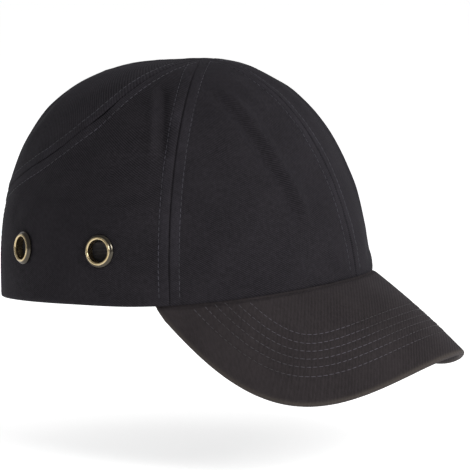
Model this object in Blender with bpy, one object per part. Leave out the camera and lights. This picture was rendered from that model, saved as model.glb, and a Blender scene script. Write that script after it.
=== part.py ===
"""A bump cap: a six-panel cotton cap with a stiffened peak over a removable plastic liner.

Metres and radians. +Z is up, the cap faces -Y, and the wearer's right is -X. The origin is the
centre of the head opening. A direction round the head is an angle from the front, positive
towards the wearer's right, so the back is at 180 degrees. A height on the crown is its rise,
from 0 at the opening's edge to 1 at the crown's highest point.
"""

import bisect
from math import acos, asin, copysign, cos, pi, radians, sin

import bmesh
import bpy
from mathutils import Matrix, Vector

# Head opening, measured from the origin to the crown's outer face
OPENING_FRONT = 0.1005
OPENING_REAR = 0.1095
OPENING_SIDE = 0.0889
FRONT_LIFT = 0.0070
REAR_DROP = 0.0055

# Crown profile: a superellipse from the opening up to the apex
CROWN_HEIGHT = 0.1214
METRES_PER_RISE = CROWN_HEIGHT * 1.25
APEX_FORWARD = 0.0120
FRONT_SET_BACK = 0.0120
FRONT_SQUARENESS = 1.95
REAR_SQUARENESS = 3.20
TOP_SQUARENESS = 2.27

# A small step for slopes taken numerically
PROBE = 0.001

# Cloth and seams
GAP = 0.0003
LAYER_GAP = 0.0004
SEAM_HALF_GAP = 0.00019
MOST_INSET = 0.42
CLOTH = 0.0010
TAPE_DEPTH = 0.0020
TAPE_THICKNESS = 0.0006
TAPE_HALF_WIDTH = 0.0080
FRONT_TAPE = (0.010, 0.84)
BACK_TAPE = (0.375, 0.945)
SIDE_TAPE = (0.010, 0.76)
REAR_TAPE = (0.300, 0.70)
SIDE_SEAM = radians(69)
SIDE_SEAM_FORWARD = radians(9)
SIDE_SEAM_BEND = 1.6
REAR_SEAM = radians(86)
REAR_SEAM_SLANT = radians(35)
REAR_SEAM_SWEEP = radians(260)
TIP_REACH = 0.012
FRONT_CLOSING = 1.0
REAR_CLOSING = 1.5
FOOT_CROWDING = 1.35

# Columns and rows of the grids that the sheets are laid on
FRONT_GRID = (10, 16)
SIDE_COLS = 12
SIDE_FOOT_ROWS = 5
UPPER_ROWS = 14
REAR_GRID = (10, UPPER_ROWS)
SIDE_GRID = (SIDE_COLS, SIDE_FOOT_ROWS + UPPER_ROWS)
TAPE_GRID = (2, 12)
BINDING_GRID = (20, 2)
BAND_GRID = (36, 3)
STRAP_GRID = (14, 2)
ANCHOR_GRID = (3, 2)
PATCH_GRID = (9, 2)
SHELL_GRID = (48, 14)
PAD_GRID = (6, 6)
TOP_PAD_GRID = (8, 8)
PEAK_GRID = (26, 6)
LABEL_GRID = (4, 2)
RING_SEGMENTS = 20

# Half-moon opening at the back, and the closure across its foot
BACK = pi
ARCH_HALF = radians(30)
ARCH_RISE = 0.300
BINDING_WIDTH = 0.0080
BINDING_DEPTH = 0.0024
BINDING_LOW = 0.108
STRAP_LOW = 0.006
STRAP_HIGH = 0.088
STRAP_THICKNESS = 0.0013
PATCH_THICKNESS = 0.0010
LOOP_STRAP_DEPTH = 0.0041
LOOP_STRAP_SETTLES = (radians(1), radians(10))
HOOK_STRAP_PROUD = 0.0002
STRAP_ROOT = radians(8)
STRAP_OVERLAP = radians(17)
HOOK_STRAP_START = BACK - ARCH_HALF + radians(2.0)
HOOK_STRAP_END = BACK + STRAP_OVERLAP
LOOP_STRAP_END = BACK - STRAP_OVERLAP
ANCHOR_START = HOOK_STRAP_START - STRAP_ROOT - radians(1)
ANCHOR_END = HOOK_STRAP_START - radians(0.4)
PATCH_MARGIN = 0.010
PATCH_REACH = radians(13)
PATCH_INSET = radians(1)

# Eyelets
EYELET_AT = (radians(91.5), radians(123.5))
EYELET_HEIGHT = (0.0284, 0.0266)
EYELET_FLANGE = 0.0087
EYELET_HOLE = 0.0060
EYELET_WALL = 0.0005
EYELET_DEPTH = 0.0027
EYELET_STANDOFF = 0.00035
EYELET_CREST = 0.0018
EYELET_CREST_SHARE = 0.45
EYELET_SHOULDER = (0.0006, 0.0015)
EYELET_RIM = (0.0005, 0.0011)
CLOTH_HOLE = 0.0069
WASHER_OUTER = 0.0083
WASHER_INNER = 0.0069
WASHER_TOP = -0.0019
WASHER_FOOT = -0.0026
PUNCH_LENGTH = 0.012

# Sweatband
BAND_DEPTH = 0.0031
BAND_THICKNESS = 0.0021
BAND_HEIGHT = 0.0330
BAND_LIP = 0.0012
BAND_END = radians(139)

# Care label behind the sweatband's right end
LABEL_SPAN = (radians(118), radians(134))
LABEL_HEIGHT = (0.006, 0.026)
LABEL_THICKNESS = 0.0005
LABEL_GAP = 0.0005

# Plastic liner and its pads
SHELL_RIM_HEIGHT = 0.0375
SHELL_REAR_RIM = 0.0700
SHELL_RIM_DEPTH = 0.0056
SHELL_TOP_DEPTH = 0.0032
SHELL_THICKNESS = 0.0018
SHELL_STEP = (radians(112), radians(36))
SHELL_CLOSES = (0.28, 0.45)
SHELL_CROWDING = 1.25
PAD_THICKNESS = 0.0036
PAD_CLEARANCE = 0.0008
FRONT_PAD = (0.034, 0.22, 0.56)
SIDE_PAD = (0.026, 0.27, 0.56)
SIDE_PAD_AT = radians(88)
REAR_PAD = (0.022, 0.44, 0.68)
REAR_PAD_AT = radians(140)
TOP_PAD_HALF = (0.0300, 0.0375)
TOP_PAD_BEHIND_APEX = 0.012
VENT_WIDTH = radians(7.5)
VENTS = (
    (radians(41.25), 0.30, 0.52),
    (radians(56.25), 0.30, 0.52),
    (radians(116.25), 0.36, 0.54),
    (radians(63.75), 0.62, 0.78),
    (radians(101.25), 0.62, 0.78),
)

# Peak
PEAK_HALF_ANGLE = radians(74.5)
PEAK_REACH = 0.1284
PEAK_SLOPE = 0.978
PEAK_ARCH = 11.6
PEAK_ARCH_EDGE = 1.0
PEAK_CORNER_ROUND = 1.037
PEAK_FRONT_ROUND = 0.757
PEAK_CROWNING = 0.0025
PEAK_CLOTH = 0.0007
PEAK_ENDS = 0.985
PEAK_LIP = 0.00048
PEAK_BOARD = 0.0014
BOARD_ENDS = 0.93
BOARD_INSET = 0.0020

HEAD_CENTRE = Vector((0.0, 0.0, 0.020))

BLACK_TWILL = ((0.024, 0.021, 0.025), 0.92, 0.0)
BLACK_TAPE = ((0.018, 0.017, 0.020), 0.88, 0.0)
BLACK_PILE = ((0.014, 0.014, 0.016), 0.97, 0.0)
GREY_TERRY = ((0.060, 0.060, 0.065), 0.95, 0.0)
ANTIQUE_BRASS = ((0.420, 0.330, 0.200), 0.30, 1.0)
DARK_STEEL = ((0.220, 0.200, 0.180), 0.35, 1.0)
LINER_PLASTIC = ((0.050, 0.055, 0.065), 0.45, 0.0)
PAD_FOAM = ((0.070, 0.070, 0.075), 0.90, 0.0)
PEAK_PLASTIC = ((0.300, 0.300, 0.300), 0.60, 0.0)
LABEL_SATIN = ((0.700, 0.700, 0.690), 0.60, 0.0)


def mix(a, b, share):
    return a + (b - a) * share


def ease(share):
    share = min(max(share, 0.0), 1.0)
    return share * share * (3 - 2 * share)


def opening_height(angle):
    """The opening's edge is lifted over the brow and dips a little at the nape."""
    ahead = cos(angle)
    return (FRONT_LIFT if ahead > 0 else -REAR_DROP) * ahead * ahead


def crown_point(angle, rise):
    """A point on the crown's outer face."""
    ahead = cos(angle)
    reach = OPENING_FRONT if ahead > 0 else OPENING_REAR
    squareness = mix(REAR_SQUARENESS, FRONT_SQUARENESS, 0.5 * (1 + ahead))
    sweep = min(max(rise, 0.0), 1.0) * pi / 2
    inward = max(cos(sweep), 0.0) ** (2 / squareness)
    upward = sin(sweep) ** (2 / TOP_SQUARENESS)
    set_back = FRONT_SET_BACK * max(ahead, 0.0) ** 2 * upward * inward
    foot = opening_height(angle)
    return Vector((
        -OPENING_SIDE * sin(angle) * inward,
        -APEX_FORWARD + (APEX_FORWARD - reach * ahead) * inward + set_back,
        mix(foot, CROWN_HEIGHT, upward),
    ))


def rise_at(angle, height):
    """The rise at which the crown reaches a height above the origin."""
    foot = opening_height(angle)
    upward = min(max((height - foot) / (CROWN_HEIGHT - foot), 0.0), 1.0)
    return asin(upward ** (TOP_SQUARENESS / 2)) / (pi / 2)


def metres_per_radian(angle, rise):
    across = crown_point(angle + PROBE, rise) - crown_point(angle - PROBE, rise)
    return across.length / (2 * PROBE)


def crown_normal(angle, rise):
    along = crown_point(angle + PROBE, rise) - crown_point(angle - PROBE, rise)
    up = crown_point(angle, rise + PROBE) - crown_point(angle, rise - PROBE)
    return up.cross(along).normalized()


def side_seam(rise):
    return SIDE_SEAM - SIDE_SEAM_FORWARD * rise**SIDE_SEAM_BEND


def rear_seam(rise):
    """The seam that leaves the apex sideways and sweeps round to the rear arch."""
    drop = 1 - rise
    return REAR_SEAM + REAR_SEAM_SLANT * drop + REAR_SEAM_SWEEP * drop ** 6


def arch_edge(turn, widen=0.0):
    """A point on the rear arch: turn 0 is its right foot, pi / 2 its top."""
    angle_reach = ARCH_HALF + widen / OPENING_SIDE
    rise_reach = ARCH_RISE + widen / METRES_PER_RISE
    return BACK - angle_reach * cos(turn), rise_reach * sin(turn)


def arch_angle(rise):
    return BACK - ARCH_HALF * max(1 - (rise / ARCH_RISE) ** 2, 0.0) ** 0.5


def seam_meets_arch():
    """The turn along the arch at which the rear seam reaches its edge."""
    turns = [pi / 2 * step / 2000 for step in range(2001)]
    past = [arch_edge(turn)[0] > rear_seam(arch_edge(turn)[1]) for turn in turns]
    return turns[bisect.bisect_left(past, True)]


SEAM_FOOT_TURN = seam_meets_arch()
SEAM_FOOT_RISE = arch_edge(SEAM_FOOT_TURN)[1]


def peak_point(across, out):
    """A point on the peak's upper face: across -1 to 1, out 0 at the crown and 1 at the edge."""
    angle = across * PEAK_HALF_ANGLE
    lip = 1 + PEAK_LIP / OPENING_SIDE
    inner = Vector((
        -OPENING_SIDE * sin(angle) * lip,
        -OPENING_FRONT * cos(angle) * lip,
        opening_height(angle) - GAP,
    ))
    corner_x = OPENING_SIDE * sin(PEAK_HALF_ANGLE) * lip
    corner_y = -OPENING_FRONT * cos(PEAK_HALF_ANGLE) * lip
    turn = across * pi / 2
    side = copysign(abs(sin(turn)) ** PEAK_CORNER_ROUND, across)
    x = -corner_x * side
    y = corner_y - PEAK_REACH * max(cos(turn), 0.0) ** PEAK_FRONT_ROUND
    corner_z = opening_height(PEAK_HALF_ANGLE) - GAP
    bend = PEAK_ARCH * (corner_x**2 - x * x)
    edge_bend = PEAK_ARCH_EDGE * (corner_x**4 - x**4) / corner_x**2
    outer = Vector((x, y, corner_z + bend + edge_bend - PEAK_SLOPE * (corner_y - y)))
    point = inner.lerp(outer, out)
    point.z += PEAK_CROWNING * 4 * out * (1 - out) * max(cos(turn), 0.0)
    return point


def finish(obj, look):
    colour, roughness, metallic = look
    material = bpy.data.materials.new(obj.name + "_finish")
    material.use_nodes = True
    shader = material.node_tree.nodes["Principled BSDF"]
    shader.inputs["Base Color"].default_value = (*colour, 1.0)
    shader.inputs["Roughness"].default_value = roughness
    shader.inputs["Metallic"].default_value = metallic
    material.diffuse_color = (*colour, 1.0)
    obj.data.materials.append(material)


def add_object(name, bm, look, carrier=None):
    """Turns a bmesh in world space into an object, placed on its carrier if it has one."""
    mesh = bpy.data.meshes.new(name)
    if carrier:
        bm.transform(Matrix.Translation(-carrier.location))
    bm.to_mesh(mesh)
    bm.free()
    obj = bpy.data.objects.new(name, mesh)
    bpy.context.scene.collection.objects.link(obj)
    obj.parent = carrier
    mesh.shade_smooth()
    mesh.set_sharp_from_angle(angle=radians(35))
    finish(obj, look)
    return obj


def add_empty(name, place):
    empty = bpy.data.objects.new(name, None)
    empty.empty_display_size = 0.02
    empty.location = place
    bpy.context.scene.collection.objects.link(empty)
    return empty


def face_outwards(bm):
    outward = 0.0
    for face in bm.faces:
        centre = face.calc_center_median()
        outward += face.normal.dot(centre - HEAD_CENTRE) * face.calc_area()
    if outward < 0:
        bmesh.ops.reverse_faces(bm, faces=bm.faces)
    bm.normal_update()


def laid_grid(surface, grid, depth, is_open=None):
    """A grid laid on surface(u, v), then sunk below it by a depth, which may be a function."""
    bm = bmesh.new()
    bmesh.ops.create_grid(bm, x_segments=grid[0], y_segments=grid[1], size=0.5)
    if is_open:
        centres = {face: face.calc_center_median() for face in bm.faces}
        gaps = [face for face, at in centres.items() if is_open(at.x + 0.5, at.y + 0.5)]
        bmesh.ops.delete(bm, geom=gaps, context="FACES")
    places = {}
    for vert in bm.verts:
        u, v = vert.co.x + 0.5, vert.co.y + 0.5
        places[vert] = (u, v)
        vert.co = surface(u, v)
    doubles = bmesh.ops.find_doubles(bm, verts=bm.verts, dist=0.00002)
    bmesh.ops.weld_verts(bm, targetmap=doubles["targetmap"])
    bm.normal_update()
    face_outwards(bm)
    for vert in bm.verts:
        sink = depth(*places[vert]) if callable(depth) else depth
        vert.co -= vert.normal * sink
    bm.normal_update()
    return bm


def thicken(obj, thickness):
    wall = obj.modifiers.new("thickness", "SOLIDIFY")
    wall.thickness = thickness
    wall.offset = -1
    wall.use_even_offset = True


def add_sheet(name, surface, grid, depth, thickness, look, carrier=None):
    """A sheet whose outer face lies at a depth below surface(u, v)."""
    bm = laid_grid(surface, grid, depth)
    obj = add_object(name, bm, look, carrier)
    thicken(obj, thickness)
    return obj


def tip_rise(closing):
    """The rise at which a panel of that closing ends, just short of the apex."""
    return acos(TIP_REACH ** closing) / (pi / 2)


def seam_inset(seam, rise):
    """The angle that holds half a gap square to a seam, however much the seam slants."""
    angle = seam(rise)
    round_way = metres_per_radian(angle, rise)
    up_way = (crown_point(angle, rise + PROBE) - crown_point(angle, rise)).length / PROBE
    slant = round_way * (seam(rise + PROBE) - seam(rise)) / PROBE / up_way
    return SEAM_HALF_GAP / round_way * (1 + slant * slant) ** 0.5


def narrowed(start, end, start_inset, end_inset, share):
    """A share of the way between two seams, after their insets."""
    room = (end - start) * MOST_INSET
    return mix(start + min(start_inset, room), end - min(end_inset, room), share)


def centre_seam(rise):
    return 0.0


def back_seam(rise):
    return BACK


def front_panel_surface(side):
    top = tip_rise(FRONT_CLOSING)

    def surface(u, v):
        rise = mix(0.0, top, v)
        insets = seam_inset(centre_seam, rise), seam_inset(side_seam, rise)
        return crown_point(side * narrowed(0.0, side_seam(rise), *insets, u), rise)

    return surface


def rise_above_foot(foot_rise, share):
    """Rows crowd towards the rear seam's foot, where it slants most, and towards the apex."""
    share = 1 - (1 - share**FOOT_CROWDING) ** REAR_CLOSING
    return mix(foot_rise, tip_rise(REAR_CLOSING), share)


def side_panel_surface(side):
    foot_share = SIDE_FOOT_ROWS / (SIDE_FOOT_ROWS + UPPER_ROWS)

    def surface(u, v):
        if v <= foot_share + 1e-6:
            rise = SEAM_FOOT_RISE * v / foot_share
            end, end_inset = arch_angle(rise), 0.0
        else:
            rise = rise_above_foot(SEAM_FOOT_RISE, (v - foot_share) / (1 - foot_share))
            end, end_inset = rear_seam(rise), seam_inset(rear_seam, rise)
        start, start_inset = side_seam(rise), seam_inset(side_seam, rise)
        return crown_point(side * narrowed(start, end, start_inset, end_inset, u), rise)

    return surface


def rear_panel_surface(side):
    def surface(u, v):
        foot_angle, foot_rise = arch_edge(mix(SEAM_FOOT_TURN, pi / 2, u))
        share = (foot_angle - rear_seam(foot_rise)) / (BACK - rear_seam(foot_rise))
        rise = rise_above_foot(foot_rise, v)
        insets = seam_inset(rear_seam, rise), seam_inset(back_seam, rise)
        return crown_point(side * narrowed(rear_seam(rise), BACK, *insets, share), rise)

    return surface


def tapered(surface):
    """Closes the top row of a panel to one point, short of the apex."""

    def closed(u, v):
        return surface(0.5, v) if v > 0.999 else surface(u, v)

    return closed


def add_panels():
    for side, hand in ((1, "right"), (-1, "left")):
        front = tapered(front_panel_surface(side))
        add_sheet("front_panel_" + hand, front, FRONT_GRID, 0.0, CLOTH, BLACK_TWILL)
        sides = tapered(side_panel_surface(side))
        panel = add_sheet("side_panel_" + hand, sides, SIDE_GRID, 0.0, CLOTH, BLACK_TWILL)
        cut_eyelet_holes(panel, side)
        rear = tapered(rear_panel_surface(side))
        add_sheet("rear_panel_" + hand, rear, REAR_GRID, 0.0, CLOTH, BLACK_TWILL)


def outward_frame(angle, rise):
    """A place on the crown's outer face, with local Z pointing out of it."""
    normal = crown_normal(angle, rise)
    turn = normal.to_track_quat("Z", "Y")
    return Matrix.Translation(crown_point(angle, rise)) @ turn.to_matrix().to_4x4()


def eyelet_places(side):
    for angle, height in zip(EYELET_AT, EYELET_HEIGHT):
        yield outward_frame(side * angle, rise_at(angle, height))


def cut_eyelet_holes(panel, side):
    for number, place in enumerate(eyelet_places(side), 1):
        bm = bmesh.new()
        bmesh.ops.create_cone(
            bm, cap_ends=True, segments=RING_SEGMENTS, radius1=CLOTH_HOLE, radius2=CLOTH_HOLE,
            depth=PUNCH_LENGTH, matrix=place,
        )
        mesh = bpy.data.meshes.new(f"{panel.name}_punch_{number}")
        bm.to_mesh(mesh)
        bm.free()
        cutter = bpy.data.objects.new(mesh.name, mesh)
        cutter.hide_render = True
        cutter.display_type = "WIRE"
        bpy.context.scene.collection.objects.link(cutter)
        cut = panel.modifiers.new(f"eyelet_hole_{number}", "BOOLEAN")
        cut.operation = "DIFFERENCE"
        cut.object = cutter


def turned(profile, place):
    """A ring turned about local Z from a closed profile of (radius, height) points."""
    bm = bmesh.new()
    verts = [bm.verts.new((radius, 0.0, height)) for radius, height in profile]
    edges = [bm.edges.new((a, b)) for a, b in zip(verts, verts[1:] + verts[:1])]
    bmesh.ops.spin(
        bm, geom=verts + edges, cent=(0, 0, 0), axis=(0, 0, 1),
        angle=2 * pi, steps=RING_SEGMENTS, use_merge=True,
    )
    bmesh.ops.remove_doubles(bm, verts=bm.verts, dist=0.00001)
    bmesh.ops.recalc_face_normals(bm, faces=bm.faces)
    bm.transform(place)
    return bm


def add_eyelets():
    barrel = EYELET_HOLE + EYELET_WALL
    under = EYELET_STANDOFF
    crest = mix(barrel, EYELET_FLANGE, EYELET_CREST_SHARE)
    eyelet_profile = [
        (EYELET_HOLE, -EYELET_DEPTH), (EYELET_HOLE, EYELET_CREST / 2),
        (EYELET_HOLE + EYELET_SHOULDER[0], EYELET_SHOULDER[1]), (crest, EYELET_CREST),
        (EYELET_FLANGE - EYELET_RIM[0], EYELET_RIM[1]), (EYELET_FLANGE, under * 0.7),
        (EYELET_FLANGE - under, under), (barrel, under), (barrel, -EYELET_DEPTH),
    ]
    washer_profile = [
        (WASHER_INNER, WASHER_TOP), (WASHER_OUTER, WASHER_TOP),
        (WASHER_OUTER, WASHER_FOOT), (WASHER_INNER, WASHER_FOOT),
    ]
    for side, hand in ((1, "right"), (-1, "left")):
        for name, place in zip(("front", "rear"), eyelet_places(side)):
            bm = turned(eyelet_profile, place)
            add_object(f"eyelet_{name}_{hand}", bm, ANTIQUE_BRASS)
            bm = turned(washer_profile, place)
            add_object(f"eyelet_washer_{name}_{hand}", bm, DARK_STEEL)


def seam_strip(seam, span, side):
    """A strip of constant width along a seam, over a span of rise."""

    def surface(u, v):
        rise = mix(*span, v)
        spread = TAPE_HALF_WIDTH / metres_per_radian(seam(rise), rise)
        return crown_point(side * seam(rise) + (u - 0.5) * 2 * spread, rise)

    return surface


def add_seam_tapes():
    tapes = [
        ("seam_tape_front", centre_seam, FRONT_TAPE, 1),
        ("seam_tape_back", back_seam, BACK_TAPE, 1),
    ]
    for side, hand in ((1, "right"), (-1, "left")):
        tapes.append(("seam_tape_side_" + hand, side_seam, SIDE_TAPE, side))
        tapes.append(("seam_tape_rear_" + hand, rear_seam, REAR_TAPE, side))
    for name, seam, span, side in tapes:
        strip = seam_strip(seam, span, side)
        add_sheet(name, strip, TAPE_GRID, TAPE_DEPTH, TAPE_THICKNESS, BLACK_TAPE)


def add_arch_binding():
    low_turn = asin(BINDING_LOW / ARCH_RISE)

    def surface(u, v):
        turn = mix(low_turn, pi - low_turn, u)
        return crown_point(*arch_edge(turn, mix(GAP, BINDING_WIDTH, v)))

    add_sheet("arch_binding", surface, BINDING_GRID, BINDING_DEPTH, TAPE_THICKNESS, BLACK_TAPE)


def add_sweatband():
    def surface(u, v):
        angle = mix(-BAND_END, BAND_END, u)
        height = mix(opening_height(angle) + BAND_LIP, BAND_HEIGHT, v)
        return crown_point(angle, rise_at(angle, height))

    add_sheet("sweatband", surface, BAND_GRID, BAND_DEPTH, BAND_THICKNESS, GREY_TERRY)


def strap_span(start, end, low=STRAP_LOW, high=STRAP_HIGH):
    return lambda u, v: crown_point(mix(start, end, u), mix(low, high, v))


def add_closure(hinge):
    """Two straps over the foot of the arch: a fixed loop strap and a hook strap that peels off."""
    far_side = BACK + ARCH_HALF
    root_end = far_side + STRAP_ROOT

    def loop_depth(u, v):
        angle = mix(root_end, LOOP_STRAP_END, u)
        starts, spread = LOOP_STRAP_SETTLES
        return mix(TAPE_DEPTH, LOOP_STRAP_DEPTH, ease((far_side - starts - angle) / spread))

    loop = strap_span(root_end, LOOP_STRAP_END)
    add_sheet("loop_strap", loop, STRAP_GRID, loop_depth, STRAP_THICKNESS, BLACK_TWILL)
    heights = STRAP_LOW + PATCH_MARGIN, STRAP_HIGH - PATCH_MARGIN
    patch = strap_span(LOOP_STRAP_END + PATCH_INSET, BACK + PATCH_REACH, *heights)
    patch_depth = LOOP_STRAP_DEPTH - GAP - PATCH_THICKNESS
    add_sheet("loop_patch", patch, PATCH_GRID, patch_depth, PATCH_THICKNESS, BLACK_PILE)
    anchor = strap_span(ANCHOR_START, ANCHOR_END)
    add_sheet("hook_strap_anchor", anchor, ANCHOR_GRID, TAPE_DEPTH, STRAP_THICKNESS, BLACK_TWILL)
    hook = strap_span(HOOK_STRAP_START, HOOK_STRAP_END)
    hook_depth = -HOOK_STRAP_PROUD
    add_sheet("hook_strap", hook, STRAP_GRID, hook_depth, STRAP_THICKNESS, BLACK_TWILL, hinge)
    patch = strap_span(BACK - PATCH_REACH, HOOK_STRAP_END - PATCH_INSET, *heights)
    patch_depth = hook_depth + STRAP_THICKNESS + GAP
    add_sheet("hook_patch", patch, PATCH_GRID, patch_depth, PATCH_THICKNESS, BLACK_PILE, hinge)


def shell_rim(angle):
    """The liner's lower edge is level round the front and sides and steps up over the arch."""
    starts, spread = SHELL_STEP
    behind = ease((abs(angle) - starts) / spread)
    return rise_at(angle, mix(SHELL_RIM_HEIGHT, SHELL_REAR_RIM, behind))


def shell_depth(rise):
    starts, spread = SHELL_CLOSES
    return mix(SHELL_RIM_DEPTH, SHELL_TOP_DEPTH, ease((rise - starts) / spread))


def add_liner_shell(carrier):
    def place(u, v):
        angle = mix(-pi, pi, u)
        return angle, mix(shell_rim(angle), 1.0, 1 - (1 - v) ** SHELL_CROWDING)

    def surface(u, v):
        return crown_point(*place(u, v))

    def depth(u, v):
        return shell_depth(place(u, v)[1])

    def is_open(u, v):
        angle, rise = place(u, v)
        for vent_angle, low, high in VENTS:
            if abs(abs(angle) - vent_angle) < VENT_WIDTH / 2 and low < rise < high:
                return True
        return False

    bm = laid_grid(surface, SHELL_GRID, depth, is_open)
    shell = add_object("liner_shell", bm, LINER_PLASTIC, carrier)
    thicken(shell, SHELL_THICKNESS)


def pad_patch(middle, half_width, low, high):
    """A pad's footprint: a centre angle, a half width in metres and a span of rise."""

    def surface(u, v):
        rise = mix(low, high, v)
        spread = half_width / metres_per_radian(middle, rise)
        return crown_point(middle + (0.5 - u) * 2 * spread, rise)

    return surface


def point_over(x, y):
    """The crown's outer face straight above a place in plan, found by halving."""
    side = copysign(1.0, -x)
    target = Vector((abs(x), -(y + APEX_FORWARD)))
    low, high = 0.3, 1.0
    for _ in range(40):
        rise = (low + high) / 2
        low_angle, high_angle = 0.0, pi
        for _ in range(30):
            angle = (low_angle + high_angle) / 2
            at = crown_point(side * angle, rise)
            bearing = Vector((-at.x * side, -(at.y + APEX_FORWARD)))
            if bearing.x * target.y - bearing.y * target.x > 0:
                high_angle = angle
            else:
                low_angle = angle
        if bearing.length > target.length:
            low = rise
        else:
            high = rise
    return crown_point(side * angle, rise)


def add_pads(carrier):
    pads = [("pad_front", 0.0, *FRONT_PAD)]
    for side, hand in ((1, "right"), (-1, "left")):
        pads.append(("pad_side_" + hand, side * SIDE_PAD_AT, *SIDE_PAD))
        pads.append(("pad_rear_" + hand, side * REAR_PAD_AT, *REAR_PAD))
    below_shell = SHELL_THICKNESS + PAD_CLEARANCE
    for name, middle, half_width, low, high in pads:
        def depth(u, v, low=low, high=high):
            return shell_depth(mix(low, high, v)) + below_shell

        patch = pad_patch(middle, half_width, low, high)
        add_sheet(name, patch, PAD_GRID, depth, PAD_THICKNESS, PAD_FOAM, carrier)

    def top(u, v):
        half_across, half_along = TOP_PAD_HALF
        middle = TOP_PAD_BEHIND_APEX - APEX_FORWARD
        return point_over(mix(half_across, -half_across, u), middle + mix(-half_along, half_along, v))

    top_depth = SHELL_TOP_DEPTH + below_shell
    add_sheet("pad_top", top, TOP_PAD_GRID, top_depth, PAD_THICKNESS, PAD_FOAM, carrier)


def add_peak():
    """The board lies between two covers, each one layer gap away from it."""

    def cover(u, v):
        return peak_point(mix(-PEAK_ENDS, PEAK_ENDS, u), v)

    def board(u, v):
        across = mix(-BOARD_ENDS, BOARD_ENDS, u)
        width = (peak_point(across, 1.0) - peak_point(across, 0.0)).length
        inset = BOARD_INSET / width
        return peak_point(across, mix(inset, 1 - inset, v))

    board_depth = PEAK_CLOTH + LAYER_GAP
    lower_depth = board_depth + PEAK_BOARD + LAYER_GAP
    add_sheet("peak_cover_top", cover, PEAK_GRID, 0.0, PEAK_CLOTH, BLACK_TWILL)
    add_sheet("peak_board", board, PEAK_GRID, board_depth, PEAK_BOARD, PEAK_PLASTIC)
    add_sheet("peak_cover_bottom", cover, PEAK_GRID, lower_depth, PEAK_CLOTH, BLACK_TWILL)


def add_care_label():
    def surface(u, v):
        angle = mix(*LABEL_SPAN, u)
        return crown_point(angle, rise_at(angle, mix(*LABEL_HEIGHT, v)))

    depth = BAND_DEPTH + BAND_THICKNESS + LABEL_GAP
    add_sheet("care_label", surface, LABEL_GRID, depth, LABEL_THICKNESS, LABEL_SATIN)


def build():
    for obj in list(bpy.data.objects):
        bpy.data.objects.remove(obj, do_unlink=True)
    add_panels()
    add_seam_tapes()
    add_arch_binding()
    add_eyelets()
    add_sweatband()
    add_care_label()
    add_peak()
    mid_rise = (STRAP_LOW + STRAP_HIGH) / 2
    hinge = add_empty("strap_hinge", crown_point(HOOK_STRAP_START, mid_rise))
    add_closure(hinge)
    liner = add_empty("liner_carrier", Vector((0.0, 0.0, 0.0)))
    add_liner_shell(liner)
    add_pads(liner)


build()
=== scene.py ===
# A bump cap: six sewn twill panels and a stiffened peak over a hard liner with pads.
# Metres. +Z is up, the cap faces -Y and the wearer's right is -X. A direction round the head is
# an angle from the front, positive towards the wearer's right. A height on the crown is its rise,
# from 0 at the opening's edge to 1 at the very top.
import functools
import math

import bmesh
import bpy
from mathutils import Matrix, Vector, kdtree, noise


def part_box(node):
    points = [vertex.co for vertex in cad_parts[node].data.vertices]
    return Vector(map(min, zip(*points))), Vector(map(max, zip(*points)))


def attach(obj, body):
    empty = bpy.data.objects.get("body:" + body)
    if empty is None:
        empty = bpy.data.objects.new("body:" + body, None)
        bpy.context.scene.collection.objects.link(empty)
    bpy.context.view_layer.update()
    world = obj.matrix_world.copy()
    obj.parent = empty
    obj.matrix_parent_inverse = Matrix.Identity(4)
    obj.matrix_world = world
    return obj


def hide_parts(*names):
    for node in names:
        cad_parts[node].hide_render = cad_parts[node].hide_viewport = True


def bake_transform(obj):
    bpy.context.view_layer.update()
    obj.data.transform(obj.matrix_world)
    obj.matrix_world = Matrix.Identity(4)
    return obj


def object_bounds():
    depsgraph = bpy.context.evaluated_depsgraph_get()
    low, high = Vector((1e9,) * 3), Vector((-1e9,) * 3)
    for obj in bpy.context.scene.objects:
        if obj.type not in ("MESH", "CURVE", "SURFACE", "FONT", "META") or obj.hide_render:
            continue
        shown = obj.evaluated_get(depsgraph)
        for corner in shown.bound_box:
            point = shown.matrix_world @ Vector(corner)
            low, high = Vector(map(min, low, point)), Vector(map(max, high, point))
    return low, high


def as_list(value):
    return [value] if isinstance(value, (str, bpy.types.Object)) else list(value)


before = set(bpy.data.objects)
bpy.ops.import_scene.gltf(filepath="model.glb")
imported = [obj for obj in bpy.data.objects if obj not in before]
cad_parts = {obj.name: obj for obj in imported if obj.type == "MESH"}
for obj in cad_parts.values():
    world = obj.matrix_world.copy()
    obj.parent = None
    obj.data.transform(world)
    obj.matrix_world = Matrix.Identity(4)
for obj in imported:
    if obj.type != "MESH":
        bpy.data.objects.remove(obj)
cadBox = [list(corner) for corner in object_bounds()]
print("frame loaded:", len(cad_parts), "nodes")

mm = 0.001
back = math.pi
farAway = 0.030  # past this a fold or an eyelet no longer moves the cloth
hands = ((1, "right"), (-1, "left"))  # side of the head and its name
headCentre = Vector((0.0, 0.0, 0.020))

crownShape = {
    "frontReach": 0.1005, "rearReach": 0.1095, "sideReach": 0.0889,
    "frontLift": 0.0070, "rearDrop": 0.0055,
    "height": 0.1214, "apexForward": 0.0120, "frontSetBack": 0.0120,
    "frontSquareness": 1.95, "rearSquareness": 3.20, "topSquareness": 2.27,
}

seamPlan = {
    "sideAngle": 69, "sideForward": 9,
    "rearAngle": 86, "rearSlant": 35, "rearSweep": 260,
    "archHalf": math.radians(30), "archRise": 0.300,
    "gap": 0.06 * mm, "tipReach": 0.003,
}


def mix(a, b, share):
    return a + (b - a) * share


def ease(share):
    share = min(max(share, 0.0), 1.0)
    return share * share * (3 - 2 * share)


def bump(distance, width):
    return math.exp(-((distance / width) ** 2))


def openingHeight(angle):
    ahead = math.cos(angle)
    lift = crownShape["frontLift"] if ahead > 0 else -crownShape["rearDrop"]
    return lift * ahead * ahead


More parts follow.
